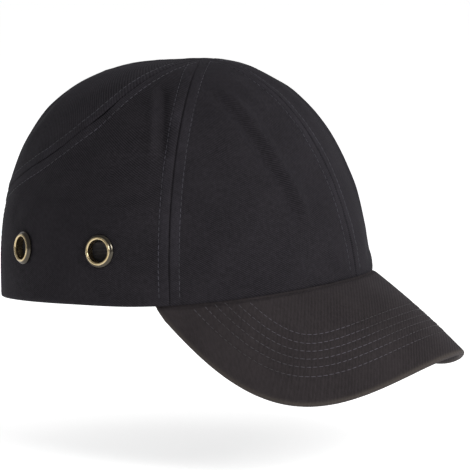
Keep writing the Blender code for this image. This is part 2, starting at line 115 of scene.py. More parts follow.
def crownPoint(angle, rise):
    ahead = math.cos(angle)
    reach = crownShape["frontReach"] if ahead > 0 else crownShape["rearReach"]
    squareness = mix(crownShape["rearSquareness"], crownShape["frontSquareness"], (1 + ahead) / 2)
    sweep = min(max(rise, 0.0), 1.0) * math.pi / 2
    inward = max(math.cos(sweep), 0.0) ** (2 / squareness)
    upward = math.sin(sweep) ** (2 / crownShape["topSquareness"])
    setBack = crownShape["frontSetBack"] * max(ahead, 0.0) ** 2 * upward * inward
    forward = crownShape["apexForward"]
    return Vector((
        -crownShape["sideReach"] * math.sin(angle) * inward,
        -forward + (forward - reach * ahead) * inward + setBack,
        mix(openingHeight(angle), crownShape["height"], upward),
    ))


def riseAt(angle, height):
    foot = openingHeight(angle)
    upward = min(max((height - foot) / (crownShape["height"] - foot), 0.0), 1.0)
    return math.asin(upward ** (crownShape["topSquareness"] / 2)) / (math.pi / 2)


def roundWay(angle, rise, step=0.001):
    return (crownPoint(angle + step, rise) - crownPoint(angle - step, rise)).length / (2 * step)


def upWay(angle, rise, step=0.001):
    return (crownPoint(angle, rise + step) - crownPoint(angle, rise)).length / step


def crownNormal(angle, rise, step=0.001):
    along = crownPoint(angle + step, rise) - crownPoint(angle - step, rise)
    up = crownPoint(angle, rise + step) - crownPoint(angle, rise - step)
    return up.cross(along).normalized()


def below(angle, rise, depth):
    # a place a depth under the plain crown, and the way inwards there
    normal = crownNormal(angle, rise)
    return crownPoint(angle, rise) - normal * depth, -normal


def onCrown(place):
    # turns a place(u, v) in angle and rise into a surface in space
    return lambda u, v: crownPoint(*place(u, v))


def centreSeam(rise):
    return 0.0


def backSeam(rise):
    return back


def sideSeam(rise):
    return math.radians(seamPlan["sideAngle"] - seamPlan["sideForward"] * rise ** 1.6)


def rearSeam(rise):
    drop = 1 - rise
    slant = seamPlan["rearSlant"] * drop + seamPlan["rearSweep"] * drop ** 6
    return math.radians(seamPlan["rearAngle"] + slant)


def archEdge(turn, widen=0.0):
    angleReach = seamPlan["archHalf"] + widen / crownShape["sideReach"]
    riseReach = seamPlan["archRise"] + widen / (crownShape["height"] * 1.25)
    return back - angleReach * math.cos(turn), riseReach * math.sin(turn)


def archAngle(rise):
    share = max(1 - (rise / seamPlan["archRise"]) ** 2, 0.0)
    return back - seamPlan["archHalf"] * share ** 0.5


def archTurnAtRearSeam():
    turn = 0.0
    while archEdge(turn)[0] < rearSeam(archEdge(turn)[1]):
        turn += 0.0005
    return turn


seamFootTurn = archTurnAtRearSeam()
seamFootRise = archEdge(seamFootTurn)[1]


def seamSlant(seam, rise, step=0.001):
    angle = seam(rise)
    return roundWay(angle, rise) * (seam(rise + step) - seam(rise)) / step / upWay(angle, rise)


@functools.lru_cache(maxsize=None)
def seamInset(seam, rise):
    slant = seamSlant(seam, rise)
    return seamPlan["gap"] / 2 / roundWay(seam(rise), rise) * (1 + slant * slant) ** 0.5


def narrowed(start, end, startInset, endInset, share):
    room = (end - start) * 0.42
    return mix(start + min(startInset, room), end - min(endInset, room), share)


def tipRise(closing):
    return math.acos(seamPlan["tipReach"] ** closing) / (math.pi / 2)


def crowded(share, crowd):
    # 0 to 1, with the steps crowded towards both ends
    return mix(share, 0.5 - 0.5 * math.cos(math.pi * share), crowd)


class Line:
    # a line in space that says how far a place is from it, on which side, and how far along
    def __init__(self, points):
        self.points = points
        self.tree = kdtree.KDTree(len(points))
        for number, point in enumerate(points):
            self.tree.insert(point, number)
        self.tree.balance()
        self.lengths = [0.0]
        for start, end in zip(points, points[1:]):
            self.lengths.append(self.lengths[-1] + (end - start).length)

    def near(self, place):
        middle = self.tree.find(place)[1]
        best = (1e9, 0.0, 0.0)
        for number in range(max(middle - 1, 0), min(middle + 1, len(self.points) - 1)):
            start, end = self.points[number], self.points[number + 1]
            way = end - start
            share = min(max((place - start).dot(way) / way.length_squared, 0.0), 1.0)
            closest = start + way * share
            gap = (place - closest).length
            if gap < best[0]:
                turn = (place - closest).cross(way).dot(closest - headCentre)
                along = self.lengths[number] + way.length * share
                best = (gap, along, math.copysign(gap, turn))
        return best

    def share(self, along):
        return along / self.lengths[-1]


def seamLine(seam, low, high, steps=160):
    rises = [mix(low, high, step / steps) for step in range(steps + 1)]
    return Line([crownPoint(seam(rise), rise) for rise in rises])


def curveThrough(points, steps=12):
    # a smooth curve through (angle, rise) points
    padded = [points[0], *points, points[-1]]
    made = []
    for a, b, c, d in zip(padded, padded[1:], padded[2:], padded[3:]):
        for step in range(steps):
            t = step / steps
            made.append(tuple(
                0.5 * (2 * q + (r - p) * t + (2 * p - 5 * q + 4 * r - s) * t**2
                       + (3 * q - p - 3 * r + s) * t**3)
                for p, q, r, s in zip(a, b, c, d)
            ))
    return made + [points[-1]]


seamLines = {
    "centre": seamLine(centreSeam, 0.0, 1.0),
    "side": seamLine(sideSeam, 0.0, 1.0),
    "rear": seamLine(rearSeam, seamFootRise, 1.0),
    "back": seamLine(backSeam, seamPlan["archRise"], 1.0),
    "arch": Line([crownPoint(*archEdge(math.pi / 2 * step / 120)) for step in range(121)]),
    "hem": Line([crownPoint(math.radians(2 * step), 0.0) for step in range(91)]),
}
panelSeams = {
    "front": ("centre", "side"),
    "side": ("side", "rear"),
    "rear": ("rear", "back"),
}


# finishes
def newFinish(name):
    material = bpy.data.materials.new(name)
    material.use_nodes = True
    return material, material.node_tree


def node(tree, kind, **values):
    made = tree.nodes.new(kind)
    for key, value in values.items():
        if key in made.bl_rna.properties:
            setattr(made, key, value)
        else:
            made.inputs[key.replace("_", " ")].default_value = value
    return made


def mapped(tree, source, scale=(1, 1, 1), turn=0.0):
    mapping = tree.nodes.new("ShaderNodeMapping")
    mapping.inputs["Scale"].default_value = scale
    mapping.inputs["Rotation"].default_value = (0, 0, math.radians(turn))
    tree.links.new(source, mapping.inputs["Vector"])
    return mapping.outputs["Vector"]


def mathNode(tree, operation, first, second):
    made = tree.nodes.new("ShaderNodeMath")
    made.operation = operation
    for socket, value in zip(made.inputs, (first, second)):
        if isinstance(value, (int, float)):
            socket.default_value = value
        else:
            tree.links.new(value, socket)
    return made.outputs[0]


def colourMix(tree, share, first, second, blendType="MIX"):
    made = tree.nodes.new("ShaderNodeMix")
    made.data_type = "RGBA"
    made.blend_type = blendType
    for socket, value in zip((made.inputs[0], made.inputs[6], made.inputs[7]), (share, first, second)):
        if isinstance(value, (int, float)):
            socket.default_value = value
        elif isinstance(value, tuple):
            socket.default_value = (*value, 1.0)
        else:
            tree.links.new(value, socket)
    return made.outputs[2]


def scaledColour(tree, colour, share):
    made = tree.nodes.new("ShaderNodeVectorMath")
    made.operation = "SCALE"
    tree.links.new(colour, made.inputs[0])
    tree.links.new(share, made.inputs["Scale"])
    return made.outputs[0]


def bands(tree, vector, pitch, distortion, detail):
    # a wave whose crests are one pitch apart along X
    wave = node(tree, "ShaderNodeTexWave", wave_type="BANDS", bands_direction="X")
    wave.inputs["Scale"].default_value = 2 * math.pi / 20 / pitch
    wave.inputs["Distortion"].default_value = distortion
    wave.inputs["Detail"].default_value = detail
    wave.inputs["Detail Scale"].default_value = 1.6
    tree.links.new(vector, wave.inputs["Vector"])
    return wave.outputs["Fac"]


def clouds(tree, vector, scale, detail=2.0):
    made = tree.nodes.new("ShaderNodeTexNoise")
    made.inputs["Scale"].default_value = scale
    made.inputs["Detail"].default_value = detail
    tree.links.new(vector, made.inputs["Vector"])
    return made.outputs["Fac"]


def ranged(tree, value, low, high, toLow=0.0, toHigh=1.0):
    made = tree.nodes.new("ShaderNodeMapRange")
    for key, number in (("From Min", low), ("From Max", high), ("To Min", toLow), ("To Max", toHigh)):
        made.inputs[key].default_value = number
    tree.links.new(value, made.inputs["Value"])
    return made.outputs["Result"]


def twillFinish(name, look):
    # diagonal wales over crossing yarns, with lint, soft fading and worn ridges
    material, tree = newFinish(name)
    shader = tree.nodes["Principled BSDF"]
    weave = node(tree, "ShaderNodeUVMap", uv_map="weave").outputs["UV"]
    wales = bands(tree, mapped(tree, weave, turn=look["lean"]), look["pitch"], 1.3, 2.0)
    yarns = bands(tree, mapped(tree, weave, turn=90.0), look["yarn"], 1.0, 1.0)
    lint = clouds(tree, weave, 2600.0, 3.0)
    fading = clouds(tree, weave, 38.0, 4.0)
    mottle = clouds(tree, mapped(tree, weave, scale=(1.0, 0.75, 1.0)), 560.0, 4.0)
    wear = node(tree, "ShaderNodeAttribute", attribute_name="wear").outputs["Fac"]
    cloth = colourMix(tree, ranged(tree, wales, 0.15, 0.9), look["groove"], look["crest"])
    cloth = colourMix(tree, ranged(tree, fading, 0.35, 0.7, 0.0, 0.5), cloth, look["faded"])
    cloth = colourMix(tree, ranged(tree, lint, 0.58, 0.80, 0.0, 0.30), cloth, look["lint"])
    shade = ranged(tree, mottle, 0.32, 0.68, 1 - look["mottle"], 1 + look["mottle"])
    cloth = scaledColour(tree, cloth, shade)
    rubbed = mathNode(tree, "MULTIPLY", wear, ranged(tree, lint, 0.3, 0.7, 0.3, 0.8))
    cloth = colourMix(tree, rubbed, cloth, look["worn"])
    tree.links.new(cloth, shader.inputs["Base Color"])
    tree.links.new(ranged(tree, wales, 0.0, 1.0, 0.96, look["rough"]), shader.inputs["Roughness"])
    shader.inputs["Specular IOR Level"].default_value = 0.10
    shader.inputs["Sheen Weight"].default_value = look["sheen"]
    shader.inputs["Sheen Roughness"].default_value = 0.45
    shader.inputs["Sheen Tint"].default_value = (*look["sheenTint"], 1.0)
    ribs = mathNode(tree, "MULTIPLY", wales, ranged(tree, yarns, 0.0, 1.0, 0.55, 1.0))
    height = mathNode(tree, "ADD", ribs, mathNode(tree, "MULTIPLY", lint, 0.5))
    bumped = node(tree, "ShaderNodeBump", Strength=look["relief"], Distance=0.00025)
    tree.links.new(height, bumped.inputs["Height"])
    tree.links.new(bumped.outputs["Normal"], shader.inputs["Normal"])
    return material


def plainFinish(name, look):
    # moulded, cast or rolled finishes on object coordinates: a base, a patchy second colour and a grain
    material, tree = newFinish(name)
    shader = tree.nodes["Principled BSDF"]
    place = tree.nodes.new("ShaderNodeTexCoord").outputs["Object"]
    patches = clouds(tree, place, look["patchScale"], 4.0)
    grain = clouds(tree, place, look["grainScale"], 3.0)
    # for the threads the patchy second colour is a lighter painted highlight over the thread's own tone
    colour = colourMix(tree, ranged(tree, patches, 0.38, 0.66), look["base"], look["second"])
    tree.links.new(colour, shader.inputs["Base Color"])
    rough = ranged(tree, patches, 0.3, 0.7, look["smooth"], look["rough"])
    tree.links.new(rough, shader.inputs["Roughness"])
    shader.inputs["Metallic"].default_value = look.get("metal", 0.0)
    bumped = node(tree, "ShaderNodeBump", Strength=look["relief"], Distance=0.0002)
    tree.links.new(grain, bumped.inputs["Height"])
    tree.links.new(bumped.outputs["Normal"], shader.inputs["Normal"])
    return material


twillLooks = {
    "crown": {
        "pitch": 0.95 * mm, "yarn": 0.62 * mm, "lean": 58.0, "rough": 0.86, "relief": 0.55, "mottle": 0.20,
        "groove": (0.0075, 0.0068, 0.0082), "crest": (0.0205, 0.0182, 0.0218),
        "faded": (0.0215, 0.0190, 0.0225), "lint": (0.046, 0.043, 0.050),
        "worn": (0.042, 0.039, 0.049), "sheen": 0.022, "sheenTint": (0.82, 0.78, 1.0),
    },
    "peak": {
        "pitch": 0.95 * mm, "yarn": 0.62 * mm, "lean": 62.0, "rough": 0.84, "relief": 0.5, "mottle": 0.13,
        "groove": (0.0135, 0.0112, 0.0120), "crest": (0.0340, 0.0288, 0.0302),
        "faded": (0.0345, 0.0292, 0.0306), "lint": (0.068, 0.060, 0.062),
        "worn": (0.075, 0.064, 0.054), "sheen": 0.035, "sheenTint": (0.92, 0.86, 1.0),
    },
    "strap": {
        "pitch": 0.85 * mm, "yarn": 0.6 * mm, "lean": 60.0, "rough": 0.86, "relief": 0.5, "mottle": 0.20,
        "groove": (0.0085, 0.0078, 0.0092), "crest": (0.023, 0.0205, 0.0240),
        "faded": (0.023, 0.0210, 0.0245), "lint": (0.055, 0.052, 0.060),
        "worn": (0.045, 0.042, 0.052), "sheen": 0.035, "sheenTint": (0.82, 0.78, 1.0),
    },
    "tape": {
        "pitch": 1.3 * mm, "yarn": 0.8 * mm, "lean": 45.0, "rough": 0.84, "relief": 0.6, "mottle": 0.15,
        "groove": (0.007, 0.0068, 0.0080), "crest": (0.020, 0.0190, 0.0220),
        "faded": (0.020, 0.0190, 0.0220), "lint": (0.045, 0.044, 0.050),
        "worn": (0.045, 0.043, 0.050), "sheen": 0.035, "sheenTint": (0.85, 0.85, 1.0),
    },
    "sweatband": {
        "pitch": 0.7 * mm, "yarn": 0.5 * mm, "lean": 90.0, "rough": 0.9, "relief": 0.6, "mottle": 0.15,
        "groove": (0.010, 0.0098, 0.0110), "crest": (0.030, 0.0290, 0.0330),
        "faded": (0.028, 0.0270, 0.0310), "lint": (0.070, 0.068, 0.076),
        "worn": (0.060, 0.058, 0.066), "sheen": 0.25, "sheenTint": (0.85, 0.85, 1.0),
    },
}
plainLooks = {
    "steel": {
        "base": (0.34, 0.30, 0.24), "second": (0.22, 0.20, 0.17), "patchScale": 300.0, "metal": 1.0,
        "grainScale": 2200.0, "smooth": 0.28, "rough": 0.45, "relief": 0.12,
    },
    "shell": {
        "base": (0.022, 0.024, 0.028), "second": (0.028, 0.030, 0.034), "patchScale": 40.0,
        "grainScale": 1500.0, "smooth": 0.42, "rough": 0.55, "relief": 0.28,
    },
    "board": {
        "base": (0.050, 0.050, 0.052), "second": (0.036, 0.036, 0.038), "patchScale": 60.0,
        "grainScale": 900.0, "smooth": 0.5, "rough": 0.65, "relief": 0.15,
    },
    "pile": {
        "base": (0.010, 0.010, 0.012), "second": (0.018, 0.018, 0.021), "patchScale": 500.0,
        "grainScale": 2600.0, "smooth": 0.9, "rough": 0.98, "relief": 0.9,
    },
    "pad": {
        "base": (0.030, 0.031, 0.035), "second": (0.040, 0.041, 0.046), "patchScale": 90.0,
        "grainScale": 2200.0, "smooth": 0.85, "rough": 0.95, "relief": 0.6,
    },
    # thread: the lighter second colour is partly the thread's own lighter tone and partly painted sheen
    # where the stitches catch the light
    "thread": {
        "base": (0.022, 0.021, 0.027), "second": (0.050, 0.047, 0.061), "patchScale": 110.0,
        "grainScale": 3600.0, "smooth": 0.55, "rough": 0.75, "relief": 0.5,
    },
    # peakThread: the base is the thread's own colour; the large lighter patches are painted highlight where
    # stretches of the peak rows catch the light
    "peakThread": {
        "base": (0.028, 0.024, 0.026), "second": (0.072, 0.065, 0.080), "patchScale": 22.0,
        "grainScale": 3600.0, "smooth": 0.55, "rough": 0.75, "relief": 0.5,
    },
    "label": {
        "base": (0.62, 0.62, 0.60), "second": (0.56, 0.56, 0.55), "patchScale": 120.0,
        "grainScale": 3000.0, "smooth": 0.45, "rough": 0.6, "relief": 0.25,
    },
}
finishes = {key: twillFinish(key + "Twill", look) for key, look in twillLooks.items()}
finishes.update({key: plainFinish(key + "Finish", look) for key, look in plainLooks.items()})


# making pieces
def addPiece(name, bm, finish, body, replaced=(), sharp=40):
    mesh = bpy.data.meshes.new(name)
    bm.to_mesh(mesh)
    bm.free()
    piece = bpy.data.objects.new(name, mesh)
    bpy.context.scene.collection.objects.link(piece)
    mesh.shade_smooth()
    mesh.set_sharp_from_angle(angle=math.radians(sharp))
    mesh.materials.append(finishes[finish])
    if body:
        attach(piece, body)
    if replaced:
        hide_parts(*replaced)
    return piece


def absorb(bm, other):
    # adds one bmesh to another and frees it
    mesh = bpy.data.meshes.new("part")
    other.to_mesh(mesh)
    other.free()
    bm.from_mesh(mesh)
    bpy.data.meshes.remove(mesh)


def coat(name, finish):
    # gives a CAD node a finish of its own
    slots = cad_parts[name].data.materials
    slots.clear()
    slots.append(finishes[finish])


def thicken(piece, thickness):
    wall = piece.modifiers.new("cloth", "SOLIDIFY")
    wall.thickness = thickness
    wall.offset = -1


def faceOutwards(bm):
    outward = 0.0
    for face in bm.faces:
        outward += face.normal.dot(face.calc_center_median() - headCentre) * face.calc_area()
    if outward < 0:
        bmesh.ops.reverse_faces(bm, faces=bm.faces)
    bm.normal_update()


def layGrid(surface, columns, rows, chart, relief=None, crowd=(0.0, 0.0), flip=False):
    # a grid laid on surface(u, v), charted in metres for the weave, then raised or sunk along its
    # normals by relief(u, v, place), which gives a height and the wear there
    bm = bmesh.new()
    bmesh.ops.create_grid(bm, x_segments=columns, y_segments=rows, size=0.5)
    weave = bm.loops.layers.uv.new("weave")
    wearLayer = bm.verts.layers.float.new("wear")
    shares, charted = {}, {}
    for vert in bm.verts:
        u = crowded(vert.co.x + 0.5, crowd[0])
        v = crowded(vert.co.y + 0.5, crowd[1])
        shares[vert] = (u, v)
        charted[vert] = chart(u, v)
        vert.co = surface(u, v)
    for face in bm.faces:
        for loop in face.loops:
            loop[weave].uv = charted[loop.vert]
    doubles = bmesh.ops.find_doubles(bm, verts=bm.verts, dist=0.00001)
    bmesh.ops.weld_verts(bm, targetmap=doubles["targetmap"])
    bm.normal_update()
    faceOutwards(bm)
    if relief:
        for vert in bm.verts:
            height, worn = relief(*shares[vert], vert.co)
            vert[wearLayer] = worn
            vert.co += vert.normal * height
    if flip:
        bmesh.ops.reverse_faces(bm, faces=bm.faces)
    bm.normal_update()
    return bm


def measuredChart(surface, steps=24):
    # arc lengths along the middle of a surface, so a weave keeps its scale on it
    def length(place):
        points = [place(step / steps) for step in range(steps + 1)]
        return sum((b - a).length for a, b in zip(points, points[1:]))

    width = length(lambda share: surface(share, 0.5))
    height = sum(length(lambda share: surface(at, share)) for at in (0.2, 0.5, 0.8)) / 3
    return (lambda u, v: (u * width, v * height)), width, height


def clothArea(bm):
    return sum(face.calc_area() for face in bm.faces)


def declareSheet(piece, width, length, area, restsOn):
    width, length = max(width, 0.0101), max(length, 0.0101)
    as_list(restsOn)


def addStrip(name, surface, columns, rows, depth, thickness, finish, body, replaced, restsOn,
             relief=None, crowd=(0.0, 0.0)):
    # a charted strip of cloth on a surface, sunk below it by a depth
    chart, width, length = measuredChart(surface)

    def sunk(u, v, place):
        down = depth(u, v) if callable(depth) else depth
        height, worn = relief(u, v, place) if relief else (0.0, 0.0)
        return height - down, worn

    bm = layGrid(surface, columns, rows, chart, sunk, crowd)
    area = clothArea(bm)
    piece = addPiece(name, bm, finish, body, replaced)
    thicken(piece, thickness)
    declareSheet(piece, width, length, area, restsOn)
    return piece


stitchPlan = {
    "pitch": 3.1 * mm, "length": 2.6 * mm, "width": 0.40 * mm, "height": 0.42 * mm,
    "lean": 0.05, "lift": 0.10 * mm,
}


def sewRow(bm, spots):
    # thread laid in even stitches along a row of (place, normal) spots
    plan = stitchPlan
    lengths = [0.0]
    for (start, _), (end, _) in zip(spots, spots[1:]):
        lengths.append(lengths[-1] + (end - start).length)
    count = int(lengths[-1] / plan["pitch"])
    if count < 1:
        return
    row = bmesh.new()
    number = 0
    for stitch in range(count):
        at = (stitch + 0.5) * lengths[-1] / count
        while number < len(lengths) - 2 and lengths[number + 1] < at:
            number += 1
        share = (at - lengths[number]) / max(lengths[number + 1] - lengths[number], 1e-9)
        place = spots[number][0].lerp(spots[number + 1][0], share)
        normal = spots[number][1].lerp(spots[number + 1][1], share).normalized()
        way = (spots[number + 1][0] - spots[number][0]).normalized()
        across = normal.cross(way).normalized()
        lean = math.sin(stitch * 12.9898) * plan["lean"]
        way = (way + across * lean).normalized()
        across = normal.cross(way).normalized()
        turn = Matrix((way, across, way.cross(across))).transposed().to_4x4()
        size = Matrix.Diagonal((plan["length"] / 2, plan["width"] / 2, plan["height"] / 2, 1.0))
        bmesh.ops.create_uvsphere(
            row, u_segments=6, v_segments=4, radius=1.0,
            matrix=Matrix.Translation(place) @ turn @ size @ Matrix.Rotation(math.pi / 2, 4, "Y"),
        )
    absorb(bm, row)


# the floor, the light and the camera
cameraPlan = {
    "azimuth": 60.16, "elevation": 6.93, "roll": 2.10, "distance": 1.5, "lens": 211.4,
    "aimAside": 0.02456, "aimUp": 0.02499,
}


def addCamera():
    azimuth, elevation, roll = (math.radians(cameraPlan[key]) for key in ("azimuth", "elevation", "roll"))
    away = Vector((
        -math.sin(azimuth) * math.cos(elevation), -math.cos(azimuth) * math.cos(elevation),
        math.sin(elevation),
    ))
    right = Vector((math.cos(azimuth), -math.sin(azimuth), 0.0))
    up = away.cross(right)
    aim = right * cameraPlan["aimAside"] + up * cameraPlan["aimUp"]
    tiltedRight = right * math.cos(roll) - up * math.sin(roll)
    tiltedUp = right * math.sin(roll) + up * math.cos(roll)
    camera = bpy.data.objects.new("camera", bpy.data.cameras.new("camera"))
    camera.data.sensor_width = 36.0
    camera.data.lens = cameraPlan["lens"]
    camera.data.clip_start = 0.05
    turn = Matrix((tiltedRight, tiltedUp, away)).transposed().to_4x4()
    camera.matrix_world = Matrix.Translation(aim + away * cameraPlan["distance"]) @ turn
    bpy.context.scene.collection.objects.link(camera)
    bpy.context.scene.camera = camera


studio = {
    "world": 0.36, "floorDrop": 0.040, "floorSize": 30.0, "floorColour": (0.93, 0.93, 0.93),
    "floorGlow": 0.66,
    # name: (place, power in watts, size in metres)
    "lamps": {
        "keyLamp": ((-0.7, -2.0, 1.1), 33.0, 0.8),
        "frontLamp": ((0.5, -2.2, 0.5), 8.6, 1.0),
        "topLamp": ((0.5, -0.2, 2.4), 4.0, 1.6),
        "backLamp": ((0.9, 2.2, 1.2), 3.0, 1.4),
    },
}


def addStudio():
    world = bpy.data.worlds.new("studio")
    bpy.context.scene.world = world
    world.use_nodes = True
    backdrop = world.node_tree.nodes["Background"]
    backdrop.inputs["Color"].default_value = (1.0, 1.0, 1.0, 1.0)
    backdrop.inputs["Strength"].default_value = studio["world"]
    bm = bmesh.new()
    bmesh.ops.create_grid(bm, x_segments=1, y_segments=1, size=studio["floorSize"] / 2)
    bmesh.ops.translate(bm, verts=bm.verts, vec=(0, 0, cadBox[0][2] - studio["floorDrop"]))
    mesh = bpy.data.meshes.new("floor")
    bm.to_mesh(mesh)
    bm.free()
    floor = bpy.data.objects.new("floor", mesh)
    bpy.context.scene.collection.objects.link(floor)
    material, tree = newFinish("floorPaint")
    shader = tree.nodes["Principled BSDF"]
    shader.inputs["Base Color"].default_value = (*studio["floorColour"], 1.0)
    shader.inputs["Roughness"].default_value = 0.9
    shader.inputs["Specular IOR Level"].default_value = 0.1
    shader.inputs["Emission Color"].default_value = (1.0, 1.0, 1.0, 1.0)
    shader.inputs["Emission Strength"].default_value = studio["floorGlow"]
    # seen from below, the floor is clear
    through = tree.nodes.new("ShaderNodeMixShader")
    tree.links.new(tree.nodes.new("ShaderNodeNewGeometry").outputs["Backfacing"], through.inputs[0])
    tree.links.new(shader.outputs[0], through.inputs[1])
    tree.links.new(tree.nodes.new("ShaderNodeBsdfTransparent").outputs[0], through.inputs[2])
    tree.links.new(through.outputs[0], tree.nodes["Material Output"].inputs["Surface"])
    mesh.materials.append(material)
    for name, (place, power, size) in studio["lamps"].items():
        lamp = bpy.data.objects.new(name, bpy.data.lights.new(name, "AREA"))
        lamp.data.energy = power
        lamp.data.size = size
        lamp.location = place
        aim = Vector((0.0, 0.0, 0.03)) - Vector(place)
        lamp.rotation_euler = aim.to_track_quat("-Z", "Y").to_euler()
        bpy.context.scene.collection.objects.link(lamp)
    bpy.context.scene.view_settings.view_transform = "Standard"


addCamera()
addStudio()
print("camera and studio set")


# crown panels
seamLook = {
    "rowAt": 5.4 * mm, "ditch": 0.70 * mm, "ditchWidth": 0.55 * mm,
    "band": 0.30 * mm, "bandEdge": 2.2 * mm, "groove": 0.22 * mm, "grooveWidth": 0.65 * mm,
    "pucker": 0.24 * mm, "puckerAt": 1.0 * mm, "puckerReach": 5.0 * mm, "puckerPitch": 5.0 * mm,
    "bandWear": 0.34, "footFade": 22 * mm, "topFade": 52 * mm, "hemRoll": 0.22 * mm, "hemWidth": 0.7 * mm,
    "hemWear": 0.22, "hemWearAt": 0.9 * mm, "hemWearWidth": 0.6 * mm,
    "archRow": 2.0 * mm, "archSecondRow": 7.0 * mm,
}
clothFolds = {
    # along: (angle, rise) points; depth and width of the valley; crest height and how far it stands
    # from the valley, positive towards the front
    "front": [
        {"along": [(54.5, 0.704), (41.5, 0.571), (34.5, 0.451), (29.5, 0.323), (26.5, 0.255),
                   (24.5, 0.160), (23.5, 0.090)],
         "depth": 1.5 * mm, "width": 3.8 * mm, "crest": 1.8 * mm, "crestAt": 5.6 * mm},
        {"along": [(27, 0.066), (18, 0.050), (9, 0.038)],
         "depth": 1.3 * mm, "width": 4.5 * mm, "crest": 0.5 * mm, "crestAt": -8.0 * mm},
        {"along": [(13, 0.80), (11, 0.62), (10, 0.46)],
         "depth": 0.5 * mm, "width": 7.0 * mm, "crest": 0.3 * mm, "crestAt": -10.0 * mm},
    ],
    "side": [
        {"along": [(82, 0.74), (78.5, 0.674), (75, 0.581), (72.5, 0.451), (71.5, 0.36)],
         "depth": 2.1 * mm, "width": 2.8 * mm, "crest": 1.5 * mm, "crestAt": -5.6 * mm},
        {"along": [(100, 0.66), (102.5, 0.571), (102, 0.458), (103, 0.346), (103, 0.233)],
         "depth": 0.8 * mm, "width": 6.0 * mm, "crest": 0.6 * mm, "crestAt": -9.0 * mm},
        {"along": [(86, 0.34), (95, 0.30), (108, 0.27), (120, 0.25)],
         "depth": 0.6 * mm, "width": 6.0 * mm, "crest": 0.4 * mm, "crestAt": -9.0 * mm},
        {"along": [(118, 0.36), (126, 0.26), (136, 0.18)],
         "depth": 0.7 * mm, "width": 6.0 * mm, "crest": 0.4 * mm, "crestAt": -9.0 * mm},
    ],
    "rear": [
        {"along": [(150, 0.70), (146, 0.55), (152, 0.42)],
         "depth": 0.8 * mm, "width": 6.5 * mm, "crest": 0.5 * mm, "crestAt": 9.0 * mm},
        {"along": [(170, 0.62), (168, 0.50), (172, 0.40)],
         "depth": 0.6 * mm, "width": 6.0 * mm, "crest": 0.4 * mm, "crestAt": 8.0 * mm},
    ],
}
panelPlan = {
    "columns": 104, "rows": 136, "thickness": 0.8 * mm,
    "swell": {"front": 0.45 * mm, "side": 0.80 * mm, "rear": 0.70 * mm}, "ripple": 0.22 * mm,
    "leftShift": 7.0, "leftShare": 0.75,
}


def foldLines(panel, side):
    lines = []
    shift = panelPlan["leftShift"] if side < 0 else 0.0
    for fold in clothFolds[panel]:
        points = [(math.radians(angle + shift * (0.5 - rise)), rise) for angle, rise in fold["along"]]
        lines.append((fold, Line([crownPoint(*point) for point in curveThrough(points)])))
    return lines


allFolds = {(panel, side): foldLines(panel, side) for panel in clothFolds for side in (1, -1)}
eyeletPlan = {
    "angles": (91.5, 123.5), "heights": (0.0284, 0.0266), "names": ("front", "rear"),
    "flange": 8.7 * mm, "hole": 6.0 * mm, "clothHole": 7.3 * mm, "beadEdge": 7.3 * mm,
    "dimple": 0.45 * mm, "dimpleReach": 3.0 * mm,
    "gathers": 9, "gatherAt": 2.5 * mm, "gatherReach": 3.5 * mm, "gatherHeight": 0.12 * mm,
}


crownTop = crownPoint(0.0, 1.0)


def eyeletSpots():
    for angle, height in zip(eyeletPlan["angles"], eyeletPlan["heights"]):
        angle = math.radians(angle)
        yield angle, riseAt(angle, height)


eyeletCentres = [crownPoint(angle, rise) for angle, rise in eyeletSpots()]


def eyeletRelief(place):
    height = 0.0
    for centre in eyeletCentres:
        away = (place - centre).length
        if away < farAway:
            beyond = max(away - eyeletPlan["flange"], 0.0)
            height -= eyeletPlan["dimple"] * bump(beyond, eyeletPlan["dimpleReach"])
            bearing = math.atan2(place.z - centre.z, place.y - centre.y)
            gather = math.sin(bearing * eyeletPlan["gathers"] + 1.0)
            gather *= bump(beyond - eyeletPlan["gatherAt"], eyeletPlan["gatherReach"])
            height += gather * eyeletPlan["gatherHeight"]
    return height


def clothSwell(panel, side, place):
    # the cloth's own waves and folds, apart from its seams
    seed = 11.0 if side > 0 else 47.0
    swell = noise.noise(place * 16 + Vector((seed, 0, 0)))
    swell += 0.4 * noise.noise(place * 34 + Vector((0, seed, 0)))
    height = swell * panelPlan["swell"][panel]
    height += noise.noise(place * 75 + Vector((0, 0, seed))) * panelPlan["ripple"]
    for fold, line in allFolds[panel, side]:
        gap, along, aside = line.near(place)
        if gap > farAway:
            continue
        share = line.share(along)
        fade = ease(share / 0.22) * ease((1 - share) / 0.25) * (1.0 if side > 0 else panelPlan["leftShare"])
        valley = fold["depth"] * bump(gap, fold["width"])
        crest = fold["crest"] * bump(aside + fold["crestAt"], fold["width"] * 1.1)
        height += fade * (crest - valley)
    return height


